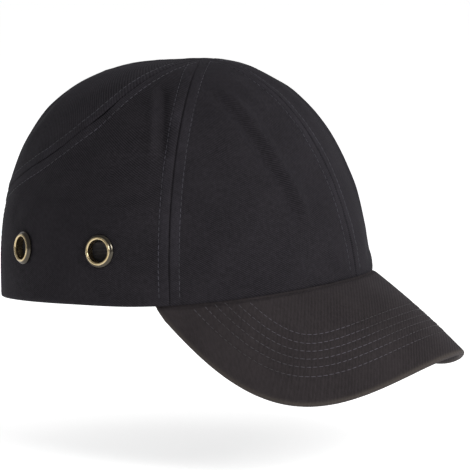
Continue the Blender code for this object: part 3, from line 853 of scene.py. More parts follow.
def clothRelief(panel, side, place):
    # how far the cloth stands off the plain crown at a place on the wearer's right, and its wear
    seed = 11.0 if side > 0 else 47.0
    height = clothSwell(panel, side, place)
    ditch = band = groove = pucker = 0.0
    for seam in panelSeams[panel]:
        gap, along, _ = seamLines[seam].near(place)
        row = gap - seamLook["rowAt"]
        ditch = max(ditch, bump(gap, seamLook["ditchWidth"]))
        band = max(band, ease(0.5 - row / seamLook["bandEdge"]))
        groove = max(groove, bump(row, seamLook["grooveWidth"]))
        wave = noise.noise(Vector((along / seamLook["puckerPitch"], seed, gap * 60)))
        pucker += wave * bump(row - seamLook["puckerAt"], seamLook["puckerReach"])
    if panel != "front":
        gap, along, _ = seamLines["arch"].near(place)
        for rowAt in (seamLook["archRow"], seamLook["archSecondRow"]):
            groove = max(groove, bump(gap - rowAt, seamLook["grooveWidth"]))
        ditch = max(ditch, 0.8 * bump(gap, seamLook["ditchWidth"]))
        band = max(band, 0.6 * ease(0.5 - (gap - seamLook["archSecondRow"]) / seamLook["bandEdge"]))
    hemGap = seamLines["hem"].near(place)[0] if panel != "rear" else 1.0
    hem = bump(hemGap, seamLook["hemWidth"])
    foot = mix(0.35, 1.0, ease(hemGap / seamLook["footFade"]))
    foot *= mix(0.25, 1.0, ease((place - crownTop).length / seamLook["topFade"]))
    height += foot * (seamLook["band"] * band - seamLook["ditch"] * ditch) - seamLook["groove"] * groove
    height += seamLook["pucker"] * pucker - seamLook["hemRoll"] * hem
    if panel == "side":
        height += eyeletRelief(place)
    patches = 0.62 + 0.6 * noise.noise(place * 130 + Vector((seed, 0, 0))) + 0.55 * noise.noise(place * 38)
    wear = seamLook["bandWear"] * foot * patches * band * (1 - ditch)
    wear += seamLook["hemWear"] * bump(hemGap - seamLook["hemWearAt"], seamLook["hemWearWidth"])
    return height, min(max(wear, 0.0), 1.0)


def mirrored(place, side):
    return Vector((place.x * side, place.y, place.z))


def frontSurface(side):
    top = tipRise(1.0)

    def surface(u, v):
        rise = mix(0.0, top, v)
        insets = seamInset(centreSeam, rise), seamInset(sideSeam, rise)
        return side * narrowed(0.0, sideSeam(rise), *insets, u), rise

    return surface


def sideSurface(side):
    footShare = 0.24
    top = tipRise(1.5)

    def surface(u, v):
        if v <= footShare:
            rise = seamFootRise * v / footShare
            end, endInset = archAngle(rise), 0.0
        else:
            share = 1 - (1 - ((v - footShare) / (1 - footShare)) ** 1.35) ** 1.5
            rise = mix(seamFootRise, top, share)
            end, endInset = rearSeam(rise), seamInset(rearSeam, rise)
        start, startInset = sideSeam(rise), seamInset(sideSeam, rise)
        return side * narrowed(start, end, startInset, endInset, u), rise

    return surface


def rearSurface(side):
    top = tipRise(1.5)

    def surface(u, v):
        footAngle, footRise = archEdge(mix(seamFootTurn, math.pi / 2, u))
        share = (footAngle - rearSeam(footRise)) / (back - rearSeam(footRise))
        rise = mix(footRise, top, 1 - (1 - v**1.35) ** 1.5)
        insets = seamInset(rearSeam, rise), seamInset(backSeam, rise)
        return side * narrowed(rearSeam(rise), back, *insets, share), rise

    return surface


def widthChart(surface, steps=40):
    # metres across from a panel's middle, and metres up along its middle
    levels = [0.0]
    for step in range(steps):
        start = crownPoint(*surface(0.5, step / steps))
        levels.append(levels[-1] + (crownPoint(*surface(0.5, (step + 1) / steps)) - start).length)

    def chart(u, v):
        angle, rise = surface(u, v)
        middle = surface(0.5, v)[0]
        step = min(int(v * steps), steps - 1)
        up = mix(levels[step], levels[step + 1], v * steps - step)
        return (angle - middle) * roundWay(angle, rise), up

    return chart, levels[-1]


def openEyeletHoles(bm, side):
    for centre in eyeletCentres:
        centre = mirrored(centre, side)
        inside = [f for f in bm.faces if (f.calc_center_median() - centre).length < eyeletPlan["clothHole"]]
        bmesh.ops.delete(bm, geom=inside, context="FACES")
        for vert in bm.verts:
            away = vert.co - centre
            if vert.is_boundary and away.length < 0.012:
                vert.co = centre + away.normalized() * eyeletPlan["clothHole"]
    bmesh.ops.delete(bm, geom=[v for v in bm.verts if not v.link_faces], context="VERTS")


def addPanels():
    for side, hand in hands:
        for panel, surface in (
            ("front", frontSurface(side)), ("side", sideSurface(side)), ("rear", rearSurface(side)),
        ):
            chart, length = widthChart(surface)
            bm = layGrid(
                lambda u, v: crownPoint(*surface(u if v < 0.9999 else 0.5, v)),
                panelPlan["columns"], panelPlan["rows"], chart,
                lambda u, v, place: clothRelief(panel, side, mirrored(place, side)), crowd=(0.82, 0.25),
            )
            if panel == "side":
                openEyeletHoles(bm, side)
            area = clothArea(bm)
            width = max(abs(chart(1.0, v / 20)[0] - chart(0.0, v / 20)[0]) for v in range(20))
            name = f"{panel}_panel_{hand}"
            piece = addPiece(name + "_cloth", bm, "crown", "cap", [name], sharp=60)
            thicken(piece, panelPlan["thickness"])
            declareSheet(piece, width, length, area, ["liner_shell"])
    print("crown panels laid")


addPanels()


# topstitching on the crown
def onCloth(angle, rise, panel, side, lift=0.0):
    place = crownPoint(angle, rise)
    normal = crownNormal(angle, rise)
    place = place + normal * (clothRelief(panel, side, place)[0] + lift)
    return mirrored(place, side), mirrored(normal, side)


def besideSeam(seam, line, rise, way, distance):
    slant = seamSlant(seam, rise)
    steep = (1 + slant * slant) ** 0.5
    reach = distance
    for _ in range(3):
        angle = seam(rise) + way * reach / steep / roundWay(seam(rise), rise)
        height = rise - way * reach * slant / steep / upWay(seam(rise), rise)
        gap = line.near(crownPoint(angle, height))[0]
        reach *= distance / max(gap, 0.0001)
    return angle, height


def addCrownStitches():
    bm = bmesh.new()
    lift = stitchPlan["lift"]
    # seam, its line, panels before and behind it, span of rise
    rows = [
        (centreSeam, "centre", None, "front", 0.012, 0.93),
        (sideSeam, "side", "front", "side", 0.012, 0.93),
        (rearSeam, "rear", "side", "rear", seamFootRise + 0.02, 0.93),
        (backSeam, "back", "rear", None, 0.335, 0.94),
    ]
    for side in (1, -1):
        for seam, name, before, behind, low, high in rows:
            for way, panel in ((-1, before), (1, behind)):
                if panel is None:
                    continue
                spots = []
                for step in range(121):
                    rise = mix(low, high, step / 120)
                    angle, height = besideSeam(seam, seamLines[name], rise, way, seamLook["rowAt"])
                    spots.append(onCloth(angle, height, panel, side, lift))
                sewRow(bm, spots)
        for widen in (seamLook["archRow"], seamLook["archSecondRow"]):
            spots = []
            for step in range(91):
                turn = mix(0.06, math.pi / 2, step / 90)
                angle, rise = archEdge(turn, widen)
                panel = "side" if angle < rearSeam(rise) or turn < seamFootTurn else "rear"
                spots.append(onCloth(angle, rise, panel, side, lift))
            sewRow(bm, spots)
    piece = addPiece("crown_stitches", bm, "thread", "cap")
    print("crown stitched:", len(piece.data.polygons), "faces")


addCrownStitches()


# eyelets
eyeletLooks = {
    "bright": (0.66, 0.54, 0.33), "bead": (0.52, 0.41, 0.23), "dark": (0.070, 0.062, 0.050),
    "smooth": 0.14, "dull": 0.30,
}


def eyeletFinish():
    # bright brass where it is rubbed, dark patina elsewhere
    material, tree = newFinish("antiqueBrass")
    shader = tree.nodes["Principled BSDF"]
    place = tree.nodes.new("ShaderNodeTexCoord").outputs["Object"]
    spots = clouds(tree, place, 420.0, 4.0)
    rubbed = node(tree, "ShaderNodeAttribute", attribute_name="wear").outputs["Fac"]
    share = ranged(tree, spots, 0.35, 0.65)
    metal = colourMix(tree, share, eyeletLooks["bead"], eyeletLooks["bright"])
    tree.links.new(colourMix(tree, rubbed, eyeletLooks["dark"], metal), shader.inputs["Base Color"])
    rough = ranged(tree, spots, 0.3, 0.7, eyeletLooks["smooth"], eyeletLooks["dull"])
    tree.links.new(rough, shader.inputs["Roughness"])
    shader.inputs["Metallic"].default_value = 1.0
    scratches = clouds(tree, place, 2600.0, 2.0)
    bumped = node(tree, "ShaderNodeBump", Strength=0.08, Distance=0.0001)
    tree.links.new(scratches, bumped.inputs["Height"])
    tree.links.new(bumped.outputs["Normal"], shader.inputs["Normal"])
    return material


finishes["eyelet"] = eyeletFinish()


def turnedRing(profile, place, steps=72):
    bm = bmesh.new()
    verts = [bm.verts.new((radius, 0.0, height)) for radius, height in profile]
    edges = [bm.edges.new((a, b)) for a, b in zip(verts, verts[1:] + verts[:1])]
    bmesh.ops.spin(
        bm, geom=verts + edges, cent=(0, 0, 0), axis=(0, 0, 1), angle=2 * math.pi, steps=steps,
        use_merge=True,
    )
    bmesh.ops.remove_doubles(bm, verts=bm.verts, dist=0.000005)
    bmesh.ops.recalc_face_normals(bm, faces=bm.faces)
    wearLayer = bm.verts.layers.float.new("wear")
    for vert in bm.verts:
        radius = Vector((vert.co.x, vert.co.y)).length
        vert[wearLayer] = 1 - ease((radius - eyeletPlan["beadEdge"] + 0.15 * mm) / (0.3 * mm))
    bm.transform(place)
    return bm


def eyeletProfile():
    # barrel, a rolled bead round the hole, a shallow trough, and a domed flange
    hole, flange = eyeletPlan["hole"], eyeletPlan["flange"]
    beadRadius, beadCentre = 0.75 * mm, hole + 0.72 * mm
    points = [(hole, -2.7 * mm), (hole, 0.9 * mm)]
    for step in range(9):
        turn = math.pi * (1 - step / 8 * 0.92)
        points.append((beadCentre + beadRadius * math.cos(turn), 1.15 * mm + beadRadius * math.sin(turn)))
    domeStart = beadCentre + beadRadius
    for step in range(1, 9):
        share = step / 8
        radius = mix(domeStart, flange, share)
        points.append((radius, 0.15 * mm + 1.05 * mm * math.cos(share * math.pi / 2) ** 0.8))
    points += [(flange - 0.3 * mm, 0.05 * mm), (hole + 0.5 * mm, 0.10 * mm), (hole + 0.5 * mm, -2.7 * mm)]
    return points


def addEyelets():
    for side, hand in hands:
        for name, (angle, rise) in zip(eyeletPlan["names"], eyeletSpots()):
            normal = crownNormal(side * angle, rise)
            turn = normal.to_track_quat("Z", "Y").to_matrix().to_4x4()
            place = Matrix.Translation(crownPoint(side * angle, rise) - normal * 0.15 * mm) @ turn
            bm = turnedRing(eyeletProfile(), place)
            addPiece(f"eyelet_{name}_{hand}_ring", bm, "eyelet", "cap",
                     [f"eyelet_{name}_{hand}"], sharp=50)
            coat(f"eyelet_washer_{name}_{hand}", "steel")
    print("eyelets set")


addEyelets()


# peak
peakShape = {
    "halfAngle": math.radians(74.5), "reach": 0.1284, "slope": 0.978, "arch": 11.6, "archEdge": 1.0,
    "cornerRound": 1.037, "frontRound": 0.757, "crowning": 0.0025, "clearance": 0.3 * mm,
}


def peakPoint(across, out):
    angle = across * peakShape["halfAngle"]
    side, front = crownShape["sideReach"], crownShape["frontReach"]
    lip = 1 + peakShape["clearance"] * 1.6 / side
    inner = Vector((
        -side * math.sin(angle) * lip, -front * math.cos(angle) * lip,
        openingHeight(angle) - peakShape["clearance"],
    ))
    cornerX = side * math.sin(peakShape["halfAngle"]) * lip
    cornerY = -front * math.cos(peakShape["halfAngle"]) * lip
    cornerZ = openingHeight(peakShape["halfAngle"]) - peakShape["clearance"]
    turn = across * math.pi / 2
    x = -cornerX * math.copysign(abs(math.sin(turn)) ** peakShape["cornerRound"], across)
    y = cornerY - peakShape["reach"] * max(math.cos(turn), 0.0) ** peakShape["frontRound"]
    bend = peakShape["arch"] * (cornerX**2 - x * x)
    edgeBend = peakShape["archEdge"] * (cornerX**4 - x**4) / cornerX**2
    outer = Vector((x, y, cornerZ + bend + edgeBend - peakShape["slope"] * (cornerY - y)))
    point = inner.lerp(outer, out)
    point.z += peakShape["crowning"] * 4 * out * (1 - out) * max(math.cos(turn), 0.0)
    return point


peakPlan = {
    "ends": 0.985, "columns": 230, "rows": 84, "thickness": 0.7 * mm, "halfThick": 1.8 * mm,
    "tuck": 2.2 * mm, "hemDip": 1.5 * mm, "hemDipWidth": 1.3 * mm,
    "rowsAt": (15.3 * mm, 20.3 * mm, 24.7 * mm, 29.0 * mm, 33.3 * mm, 38.2 * mm),
    "groove": 0.22 * mm, "grooveWidth": 0.70 * mm, "puff": 0.10 * mm, "puffWidth": 1.4 * mm,
    "lumps": 0.16 * mm, "lumpsFade": 6 * mm, "wear": 0.85, "wearAt": 0.8 * mm, "wearWidth": 1.2 * mm,
    "topSeed": 3.0, "bottomSeed": 23.0, "threadLift": 0.12 * mm, "flat": (0.200, 0.130),
}
peakEdge = Line([peakPoint(mix(-1.0, 1.0, step / 400), 1.0) for step in range(401)])


def peakRelief(place, seed):
    edgeGap = peakEdge.near(place)[0]
    thick = peakPlan["halfThick"]
    inside = min(edgeGap, thick)
    roll = thick - (thick**2 - (thick - inside) ** 2) ** 0.5
    height = -roll * 0.97
    rows = peakPlan["rowsAt"]
    height -= peakPlan["groove"] * max(bump(edgeGap - row, peakPlan["grooveWidth"]) for row in rows)
    for near, far in zip(rows, rows[1:]):
        height += peakPlan["puff"] * bump(edgeGap - (near + far) / 2, peakPlan["puffWidth"])
    lump = noise.noise(place * 42 + Vector((seed, 0, 0)))
    lump += 0.5 * noise.noise(place * 95 + Vector((0, seed, 0)))
    height += lump * peakPlan["lumps"] * ease(edgeGap / peakPlan["lumpsFade"])
    return height, peakPlan["wear"] * bump(edgeGap - peakPlan["wearAt"], peakPlan["wearWidth"])


def peakAcross(u):
    return mix(-peakPlan["ends"], peakPlan["ends"], u)


def addPeak():
    coverDrop = 2 * peakPlan["halfThick"]
    steps = 80
    spread = [0.0]
    for step in range(steps):
        start = peakPoint(peakAcross(step / steps), 0.6)
        spread.append(spread[-1] + (peakPoint(peakAcross((step + 1) / steps), 0.6) - start).length)

    def surface(u, v):
        # the inner edge is tucked in under the crown's hem
        across = peakAcross(u)
        width = (peakPoint(across, 1.0) - peakPoint(across, 0.0)).length
        return peakPoint(across, mix(-peakPlan["tuck"] / width, 1.0, v))

    def chart(u, v):
        step = min(int(u * steps), steps - 1)
        place = surface(u, v)
        return mix(spread[step], spread[step + 1], u * steps - step), -place.y * 1.25

    def topRelief(u, v, place):
        # a dip where the peak runs in under the hem
        height, wear = peakRelief(place, peakPlan["topSeed"])
        across = peakAcross(u)
        start = peakPoint(across, 0.0)
        inward = (place - start).dot((peakPoint(across, 1.0) - start).normalized())
        dip = bump(inward, peakPlan["hemDipWidth"])
        return height - peakPlan["hemDip"] * dip, wear

    def bottomRelief(u, v, place):
        height, wear = peakRelief(place, peakPlan["bottomSeed"])
        return -coverDrop - height, wear

    covers = (("peak_cover_top", topRelief, False), ("peak_cover_bottom", bottomRelief, True))
    for name, relief, flip in covers:
        bm = layGrid(surface, peakPlan["columns"], peakPlan["rows"], chart, relief, (0.35, 0.80), flip)
        area = clothArea(bm)
        piece = addPiece(name + "_cloth", bm, "peak", "cap", [name], sharp=60)
        thicken(piece, peakPlan["thickness"])
        declareSheet(piece, *peakPlan["flat"], area, ["peak_board"])
    coat("peak_board", "board")
    print("peak covered")


def peakNormal(across, out, step=0.002):
    along = peakPoint(across + step, out) - peakPoint(across - step, out)
    outward = peakPoint(across, out + step) - peakPoint(across, out - step)
    normal = along.cross(outward).normalized()
    return normal if normal.z > 0 else -normal


def peakRow(distance):
    # the (across, out) places where the peak lies a distance in from its edge
    places = []
    for step in range(321):
        across = mix(-0.96, 0.96, step / 320)
        if peakEdge.near(peakPoint(across, 0.0))[0] < distance:
            continue
        low, high = 0.0, 1.0
        for _ in range(16):
            out = (low + high) / 2
            if peakEdge.near(peakPoint(across, out))[0] > distance:
                low = out
            else:
                high = out
        places.append((across, low))
    return places


def addPeakStitches():
    bm = bmesh.new()
    for distance in peakPlan["rowsAt"]:
        top, bottom = [], []
        for across, out in peakRow(distance):
            place, normal = peakPoint(across, out), peakNormal(across, out)
            lift = peakRelief(place, peakPlan["topSeed"])[0] + peakPlan["threadLift"]
            top.append((place + normal * lift, normal))
            sunk = 2 * peakPlan["halfThick"] + peakRelief(place, peakPlan["bottomSeed"])[0]
            sunk += peakPlan["threadLift"]
            bottom.append((place - normal * sunk, -normal))
        sewRow(bm, top)
        sewRow(bm, bottom)
    piece = addPiece("peak_stitches", bm, "peakThread", "cap")
    print("peak stitched:", len(piece.data.polygons), "faces")


addPeak()
addPeakStitches()


# tapes, binding and sweatband inside the crown
tapePlan = {
    "halfWidth": 8.0 * mm, "depth": 2.0 * mm, "thickness": 0.6 * mm, "stitchAt": 6.4 * mm,
    "stitchSink": 0.05 * mm, "ridge": 0.25 * mm, "edge": 0.15 * mm,
}


def stripeWear(u):
    return 0.35 * (bump(u, 0.06) + bump(1 - u, 0.06))


def addTapes():
    bm = bmesh.new()
    # name, seam, rise span, side of the head, the panel whose waves it follows
    tapes = [
        ("seam_tape_front", centreSeam, 0.010, 0.84, 1, "front"),
        ("seam_tape_back", backSeam, 0.375, 0.945, 1, "rear"),
    ]
    for side, hand in hands:
        tapes.append(("seam_tape_side_" + hand, sideSeam, 0.010, 0.80, side, "front"))
        tapes.append(("seam_tape_rear_" + hand, rearSeam, 0.300, 0.70, side, "side"))
    for name, seam, low, high, side, panel in tapes:
        def place(u, v):
            rise = mix(low, high, v)
            spread = tapePlan["halfWidth"] / roundWay(seam(rise), rise)
            return side * seam(rise) + (u - 0.5) * 2 * spread, rise

        def swell(point):
            side = -1 if point.x > 0 else 1
            return clothSwell(panel, side, mirrored(point, side))

        def relief(u, v, point):
            ridge = tapePlan["ridge"] * bump(u - 0.5, 0.12)
            ridge -= tapePlan["edge"] * (bump(u - 0.1, 0.03) + bump(u - 0.9, 0.03))
            return swell(point) - ridge, stripeWear(u)

        addStrip(name + "_cloth", onCrown(place), 16, 90, tapePlan["depth"],
                 tapePlan["thickness"], "tape", "cap", [name], ["crown_stitches"], relief)
        for share in (-1, 1):
            spots = []
            across = 0.5 + share * tapePlan["stitchAt"] / tapePlan["halfWidth"] / 2
            for step in range(61):
                at = place(across, step / 60)
                sunk = tapePlan["depth"] + tapePlan["thickness"] + tapePlan["stitchSink"]
                spots.append(below(*at, sunk - swell(crownPoint(*at))))
            sewRow(bm, spots)
    addPiece("tape_stitches", bm, "thread", "cap")
    print("tapes sewn in")


bindingPlan = {
    "low": 0.108, "margin": 0.3 * mm, "width": 8.0 * mm, "depth": 2.4 * mm, "thickness": 0.6 * mm,
    "groove": 0.12 * mm,
}


def addArchBinding():
    plan = bindingPlan
    lowTurn = math.asin(plan["low"] / seamPlan["archRise"])

    def surface(u, v):
        turn = mix(lowTurn, math.pi - lowTurn, u)
        return crownPoint(*archEdge(turn, mix(plan["margin"], plan["width"], v)))

    def relief(u, v, place):
        return -plan["groove"] * (bump(v - 0.15, 0.06) + bump(v - 0.85, 0.06)), stripeWear(v)

    addStrip("arch_binding_cloth", surface, 160, 12, plan["depth"], plan["thickness"], "tape", "cap",
             ["arch_binding"], ["crown_stitches"], relief)
    print("arch bound")


sweatbandPlan = {
    "depth": 3.1 * mm, "thickness": 2.1 * mm, "top": 33.0 * mm, "lip": 1.2 * mm,
    "end": math.radians(139), "rows": (0.09, 0.90), "quiltPitch": 24 * mm,
    "edge": 0.36 * mm, "padding": 0.45 * mm, "groove": 0.30 * mm, "wave": 0.25 * mm, "waveScale": 60,
    "threadSink": 0.18 * mm,
}


def addSweatband():
    plan = sweatbandPlan

    def place(u, v):
        angle = mix(-plan["end"], plan["end"], u)
        height = mix(openingHeight(angle) + plan["lip"], plan["top"], v)
        return angle, riseAt(angle, height)

    surface = onCrown(place)

    def wave(point):
        return plan["wave"] * noise.noise(point * plan["waveScale"])

    width = measuredChart(surface)[1]

    def relief(u, v, point):
        # the inner face is the one that shows, so the relief runs inwards
        across = u * width / plan["quiltPitch"]
        quilt = abs(math.sin(math.pi * across)) ** 0.5
        rows = max(bump(v - row, 0.035) for row in plan["rows"])
        height = plan["edge"] * (bump(v, 0.04) + bump(1 - v, 0.04))
        height -= plan["padding"] * quilt * ease(v / 0.2) * ease((1 - v) / 0.2)
        height += plan["groove"] * rows + wave(point)
        return height, 0.5 * (bump(v, 0.05) + bump(1 - v, 0.05))

    addStrip("sweatband_cloth", surface, 300, 26, plan["depth"], plan["thickness"], "sweatband", "cap",
             ["sweatband"], ["front_panel_right_cloth"], relief)
    bm = bmesh.new()
    for row in plan["rows"]:
        spots = []
        for step in range(181):
            at = place(step / 180, row)
            sunk = plan["depth"] + plan["thickness"] - plan["threadSink"]
            spots.append(below(*at, sunk - wave(crownPoint(*at))))
        sewRow(bm, spots)
    addPiece("sweatband_stitches", bm, "thread", "cap")
    print("sweatband sewn in")


labelPlan = {"start": math.radians(118), "end": math.radians(134), "low": 0.006, "high": 0.026,
             "depth": 5.7 * mm, "thickness": 0.5 * mm, "curl": 1.0 * mm, "fold": 0.25 * mm}


def addLabel():
    plan = labelPlan

    def surface(u, v):
        angle = mix(plan["start"], plan["end"], u)
        return crownPoint(angle, riseAt(angle, mix(plan["low"], plan["high"], v)))

    def relief(u, v, place):
        fold = plan["fold"] * bump(1 - v, 0.08)
        return -plan["curl"] * (1 - v) ** 2 * (0.4 + 0.6 * abs(2 * u - 1)) - fold, 0.0

    addStrip("care_label_blank", surface, 24, 16, plan["depth"], plan["thickness"], "label", "cap",
             ["care_label"], ["sweatband_cloth"], relief)


addTapes()
addArchBinding()
addSweatband()
addLabel()


# the strap that closes the foot of the rear arch
closurePlan = {
    "low": 0.006, "high": 0.088, "thickness": 1.3 * mm,
    "loopDepth": 4.1 * mm, "anchorDepth": 2.0 * mm, "proud": 0.2 * mm, "cornerRadius": 6.0 * mm,
    "root": math.radians(8), "overlap": math.radians(17), "hingeAfterArch": math.radians(2),
    "bend": 2.5 * mm, "stitchIn": 1.8 * mm, "threadSink": 0.05 * mm, "inset": math.radians(1),
    # angles over which the hook strap comes out and the loop strap settles
    "hookRise": math.radians(5.0), "loopSettle": math.radians(10),
    "patchMargin": 0.010, "patchReach": math.radians(13),
    "loopPatchDepth": 3.25 * mm, "hookPatchDepth": 1.40 * mm,
    # size, and width or scale
    "roll": (0.35 * mm, 0.5 * mm), "groove": (0.16 * mm, 0.6 * mm), "wave": (0.12 * mm, 70),
}
pilePlan = {
    "columns": 34, "rows": 12, "backing": 0.55 * mm, "rough": 0.1 * mm, "length": 0.7 * mm,
    "rootRadius": 0.32 * mm, "tipRadius": 0.20 * mm, "outerRoot": 0.25 * mm, "innerRoot": 0.55 * mm,
}
farSide = back + seamPlan["archHalf"]
hingeAngle = back - seamPlan["archHalf"] + closurePlan["hingeAfterArch"]


def strapSurface(start, end, low=closurePlan["low"], high=closurePlan["high"], rounded=False):
    # a strap round the crown's foot whose far end may have rounded corners
    height = (crownPoint(end, high) - crownPoint(end, low)).length
    radius = closurePlan["cornerRadius"]

    def place(u, v):
        stop = end
        inside = min(v, 1 - v) * height
        if rounded and inside < radius:
            cut = radius - (radius**2 - (radius - inside) ** 2) ** 0.5
            stop -= math.copysign(cut / roundWay(end, low), end - start)
        return mix(start, stop, u), mix(low, high, v)

    return place


strapHeight = (crownPoint(back, closurePlan["high"]) - crownPoint(back, closurePlan["low"])).length


def strapRelief(width, seed):
    # a rolled edge, a stitch groove beside it and a faint wave
    roll, groove, wave = closurePlan["roll"], closurePlan["groove"], closurePlan["wave"]

    def relief(u, v, point):
        edge = min(v * strapHeight, (1 - v) * strapHeight, (1 - u) * width)
        height = wave[0] * noise.noise(point * wave[1] + Vector((seed, 0, 0)))
        height -= roll[0] * bump(edge, roll[1])
        height -= groove[0] * bump(edge - closurePlan["stitchIn"], groove[1])
        return height, 0.6 * bump(edge - 0.6 * mm, 0.6 * mm)

    return relief


def strapRows(bm, place, width, depth, start=0.0):
    edge = closurePlan["stitchIn"] / strapHeight
    end = 1 - closurePlan["stitchIn"] / width
    route = [(mix(start, end, step / 60), edge) for step in range(61)]
    route += [(end, mix(edge, 1 - edge, step / 16)) for step in range(1, 17)]
    route += [(mix(end, start, step / 60), 1 - edge) for step in range(1, 61)]
    spots = []
    for u, v in route:
        point, inward = below(*place(u, v), depth(u, v) + closurePlan["threadSink"])
        spots.append((point, -inward))
    sewRow(bm, spots)


def addPile(name, span, depth, replaced, body, hooked, facing):
    # a closure patch: a backing with rows of small hooks or standing loops
    plan = pilePlan
    place = strapSurface(*span)
    backing = layGrid(
        onCrown(place), 60, 16, lambda u, v: (u, v),
        lambda u, v, point: (-depth - plan["rough"] * noise.noise(point * 400), 0.0),
    )
    bmesh.ops.solidify(backing, geom=backing.faces[:], thickness=plan["backing"])
    sunk = depth + (plan["outerRoot"] if facing > 0 else plan["innerRoot"])
    pile = bmesh.new()
    for column in range(plan["columns"]):
        for row in range(plan["rows"]):
            # every other row is shifted, as in a woven pile
            u = (column + 0.5 + 0.4 * (row % 2)) / (plan["columns"] + 0.5)
            angle, rise = place(u, (row + 0.5) / plan["rows"])
            root, inward = below(angle, rise, sunk)
            turn = (-inward * facing).to_track_quat("Z", "Y").to_matrix().to_4x4()
            lean = Matrix.Shear("XY", 4, (0.5 if hooked else 0.25 * math.sin(column * 7.3 + row), 0.2))
            bmesh.ops.create_cone(
                pile, cap_ends=True, segments=5, radius1=plan["rootRadius"], radius2=plan["tipRadius"],
                depth=plan["length"],
                matrix=Matrix.Translation(root) @ turn @ lean,
            )
    absorb(pile, backing)
    bmesh.ops.recalc_face_normals(pile, faces=pile.faces)
    return addPiece(name, pile, "pile", body, [replaced])


def addClosure():
    plan = closurePlan
    far = roundWay(back, plan["low"])
    # the hook strap, from its anchor under the side panel to its free end
    start, end = hingeAngle - plan["root"] - plan["inset"], back + plan["overlap"]
    hookPlace = strapSurface(start, end, rounded=True)
    hookWidth = (end - start) * far
    panelEdge = back - seamPlan["archHalf"] + math.radians(0.3)

    def hookDepth(u, v):
        angle = mix(start, end, u)
        return mix(plan["anchorDepth"], -plan["proud"], ease((angle - panelEdge) / plan["hookRise"]))

    hook = addStrip("hook_strap_cloth", onCrown(hookPlace), 170, 30, hookDepth,
                    plan["thickness"], "strap", None, ["hook_strap", "hook_strap_anchor"],
                    ["loop_strap_cloth"], strapRelief(hookWidth, 5.0), (0.2, 0.5))
    rows = bmesh.new()
    strapRows(rows, hookPlace, hookWidth, hookDepth, 0.10)
    sewn = addPiece("hook_strap_stitches", rows, "thread", None)
    middle = (plan["low"] + plan["high"]) / 2
    hinge = crownPoint(hingeAngle, middle)
    way = (crownPoint(hingeAngle + 0.01, middle) - crownPoint(hingeAngle - 0.01, middle)).normalized()
    for piece in (hook, sewn):
        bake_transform(piece)
    # the fixed loop strap, which settles deeper so that the hook strap lies over it
    loopStart, loopEnd = farSide + plan["root"], back - plan["overlap"]
    loopPlace = strapSurface(loopStart, loopEnd, rounded=True)
    loopWidth = (loopStart - loopEnd) * far

    def loopDepth(u, v):
        angle = mix(loopStart, loopEnd, u)
        settled = ease((farSide - plan["inset"] - angle) / plan["loopSettle"])
        return mix(plan["anchorDepth"], plan["loopDepth"], settled)

    addStrip("loop_strap_cloth", onCrown(loopPlace), 170, 30, loopDepth,
             plan["thickness"], "strap", "cap", ["loop_strap"], ["side_panel_left_cloth"],
             strapRelief(loopWidth, 9.0), (0.2, 0.5))
    rows = bmesh.new()
    strapRows(rows, loopPlace, loopWidth, loopDepth, 0.10)
    addPiece("loop_strap_stitches", rows, "thread", "cap")
    low, high = plan["low"] + plan["patchMargin"], plan["high"] - plan["patchMargin"]
    span = (loopEnd + plan["inset"], back + plan["patchReach"], low, high)
    addPile("loop_patch_pile", span, plan["loopPatchDepth"], "loop_patch", "cap", False, 1)
    span = (back - plan["patchReach"], end - plan["inset"], low, high)
    addPile("hook_patch_pile", span, plan["hookPatchDepth"], "hook_patch", "hook_strap", True, -1)
    print("straps and closure made")


addClosure()


# the liner: a moulded shell and its pads
shellPlan = {
    "rimHeight": 0.0375, "rearRim": 0.0700, "rimDepth": 5.6 * mm, "topDepth": 3.2 * mm,
    "thickness": 1.8 * mm, "columns": 240, "rows": 96, "ventRadius": 5.2 * mm,
    "channels": (0.0, 27.0, 82.0, 140.0), "channelDepth": 0.5 * mm, "channelWidth": 1.6 * mm,
    "meanRadius": 0.085, "bead": 1.25 * mm, "beadSteps": 240, "beadSides": 10,
    "ventSpread": 0.060, "ventSides": 28, "cutterDepth": 5 * mm, "cutterReach": 8 * mm,
    # angle, low and high rise, on both sides
    "vents": ((41.25, 0.30, 0.52), (56.25, 0.30, 0.52), (116.25, 0.36, 0.54), (63.75, 0.62, 0.78),
              (101.25, 0.62, 0.78)),
}


def shellRim(angle):
    behind = ease((abs(angle) - math.radians(112)) / math.radians(36))
    return riseAt(angle, mix(shellPlan["rimHeight"], shellPlan["rearRim"], behind))


def shellDepth(rise):
    return mix(shellPlan["rimDepth"], shellPlan["topDepth"], ease((rise - 0.28) / 0.45))


def ventCutter():
    cutter = bmesh.new()
    for angle, low, high in shellPlan["vents"]:
        for side in (1, -1):
            turned = side * math.radians(angle)
            radius = min(shellPlan["ventRadius"], shellPlan["ventSpread"] * roundWay(turned, high))
            hull = bmesh.new()
            inset = radius / upWay(turned, (low + high) / 2)
            normal = crownNormal(turned, (low + high) / 2)
            turn = normal.to_track_quat("Z", "Y").to_matrix()
            for rise in (low + inset, high - inset):
                middle = crownPoint(turned, rise) - normal * shellPlan["cutterDepth"]
                for step in range(shellPlan["ventSides"]):
                    bearing = 2 * math.pi * step / shellPlan["ventSides"]
                    for end in (-shellPlan["cutterReach"], shellPlan["cutterReach"]):
                        spot = Vector((radius * math.cos(bearing), radius * math.sin(bearing), end))
                        hull.verts.new(middle + turn @ spot)
            bmesh.ops.convex_hull(hull, input=hull.verts)
            bmesh.ops.delete(hull, geom=[v for v in hull.verts if not v.link_faces], context="VERTS")
            bmesh.ops.recalc_face_normals(hull, faces=hull.faces)
            absorb(cutter, hull)
    mesh = bpy.data.meshes.new("vent_cutter")
    cutter.to_mesh(mesh)
    cutter.free()
    made = bpy.data.objects.new("vent_cutter", mesh)
    bpy.context.scene.collection.objects.link(made)
    return made


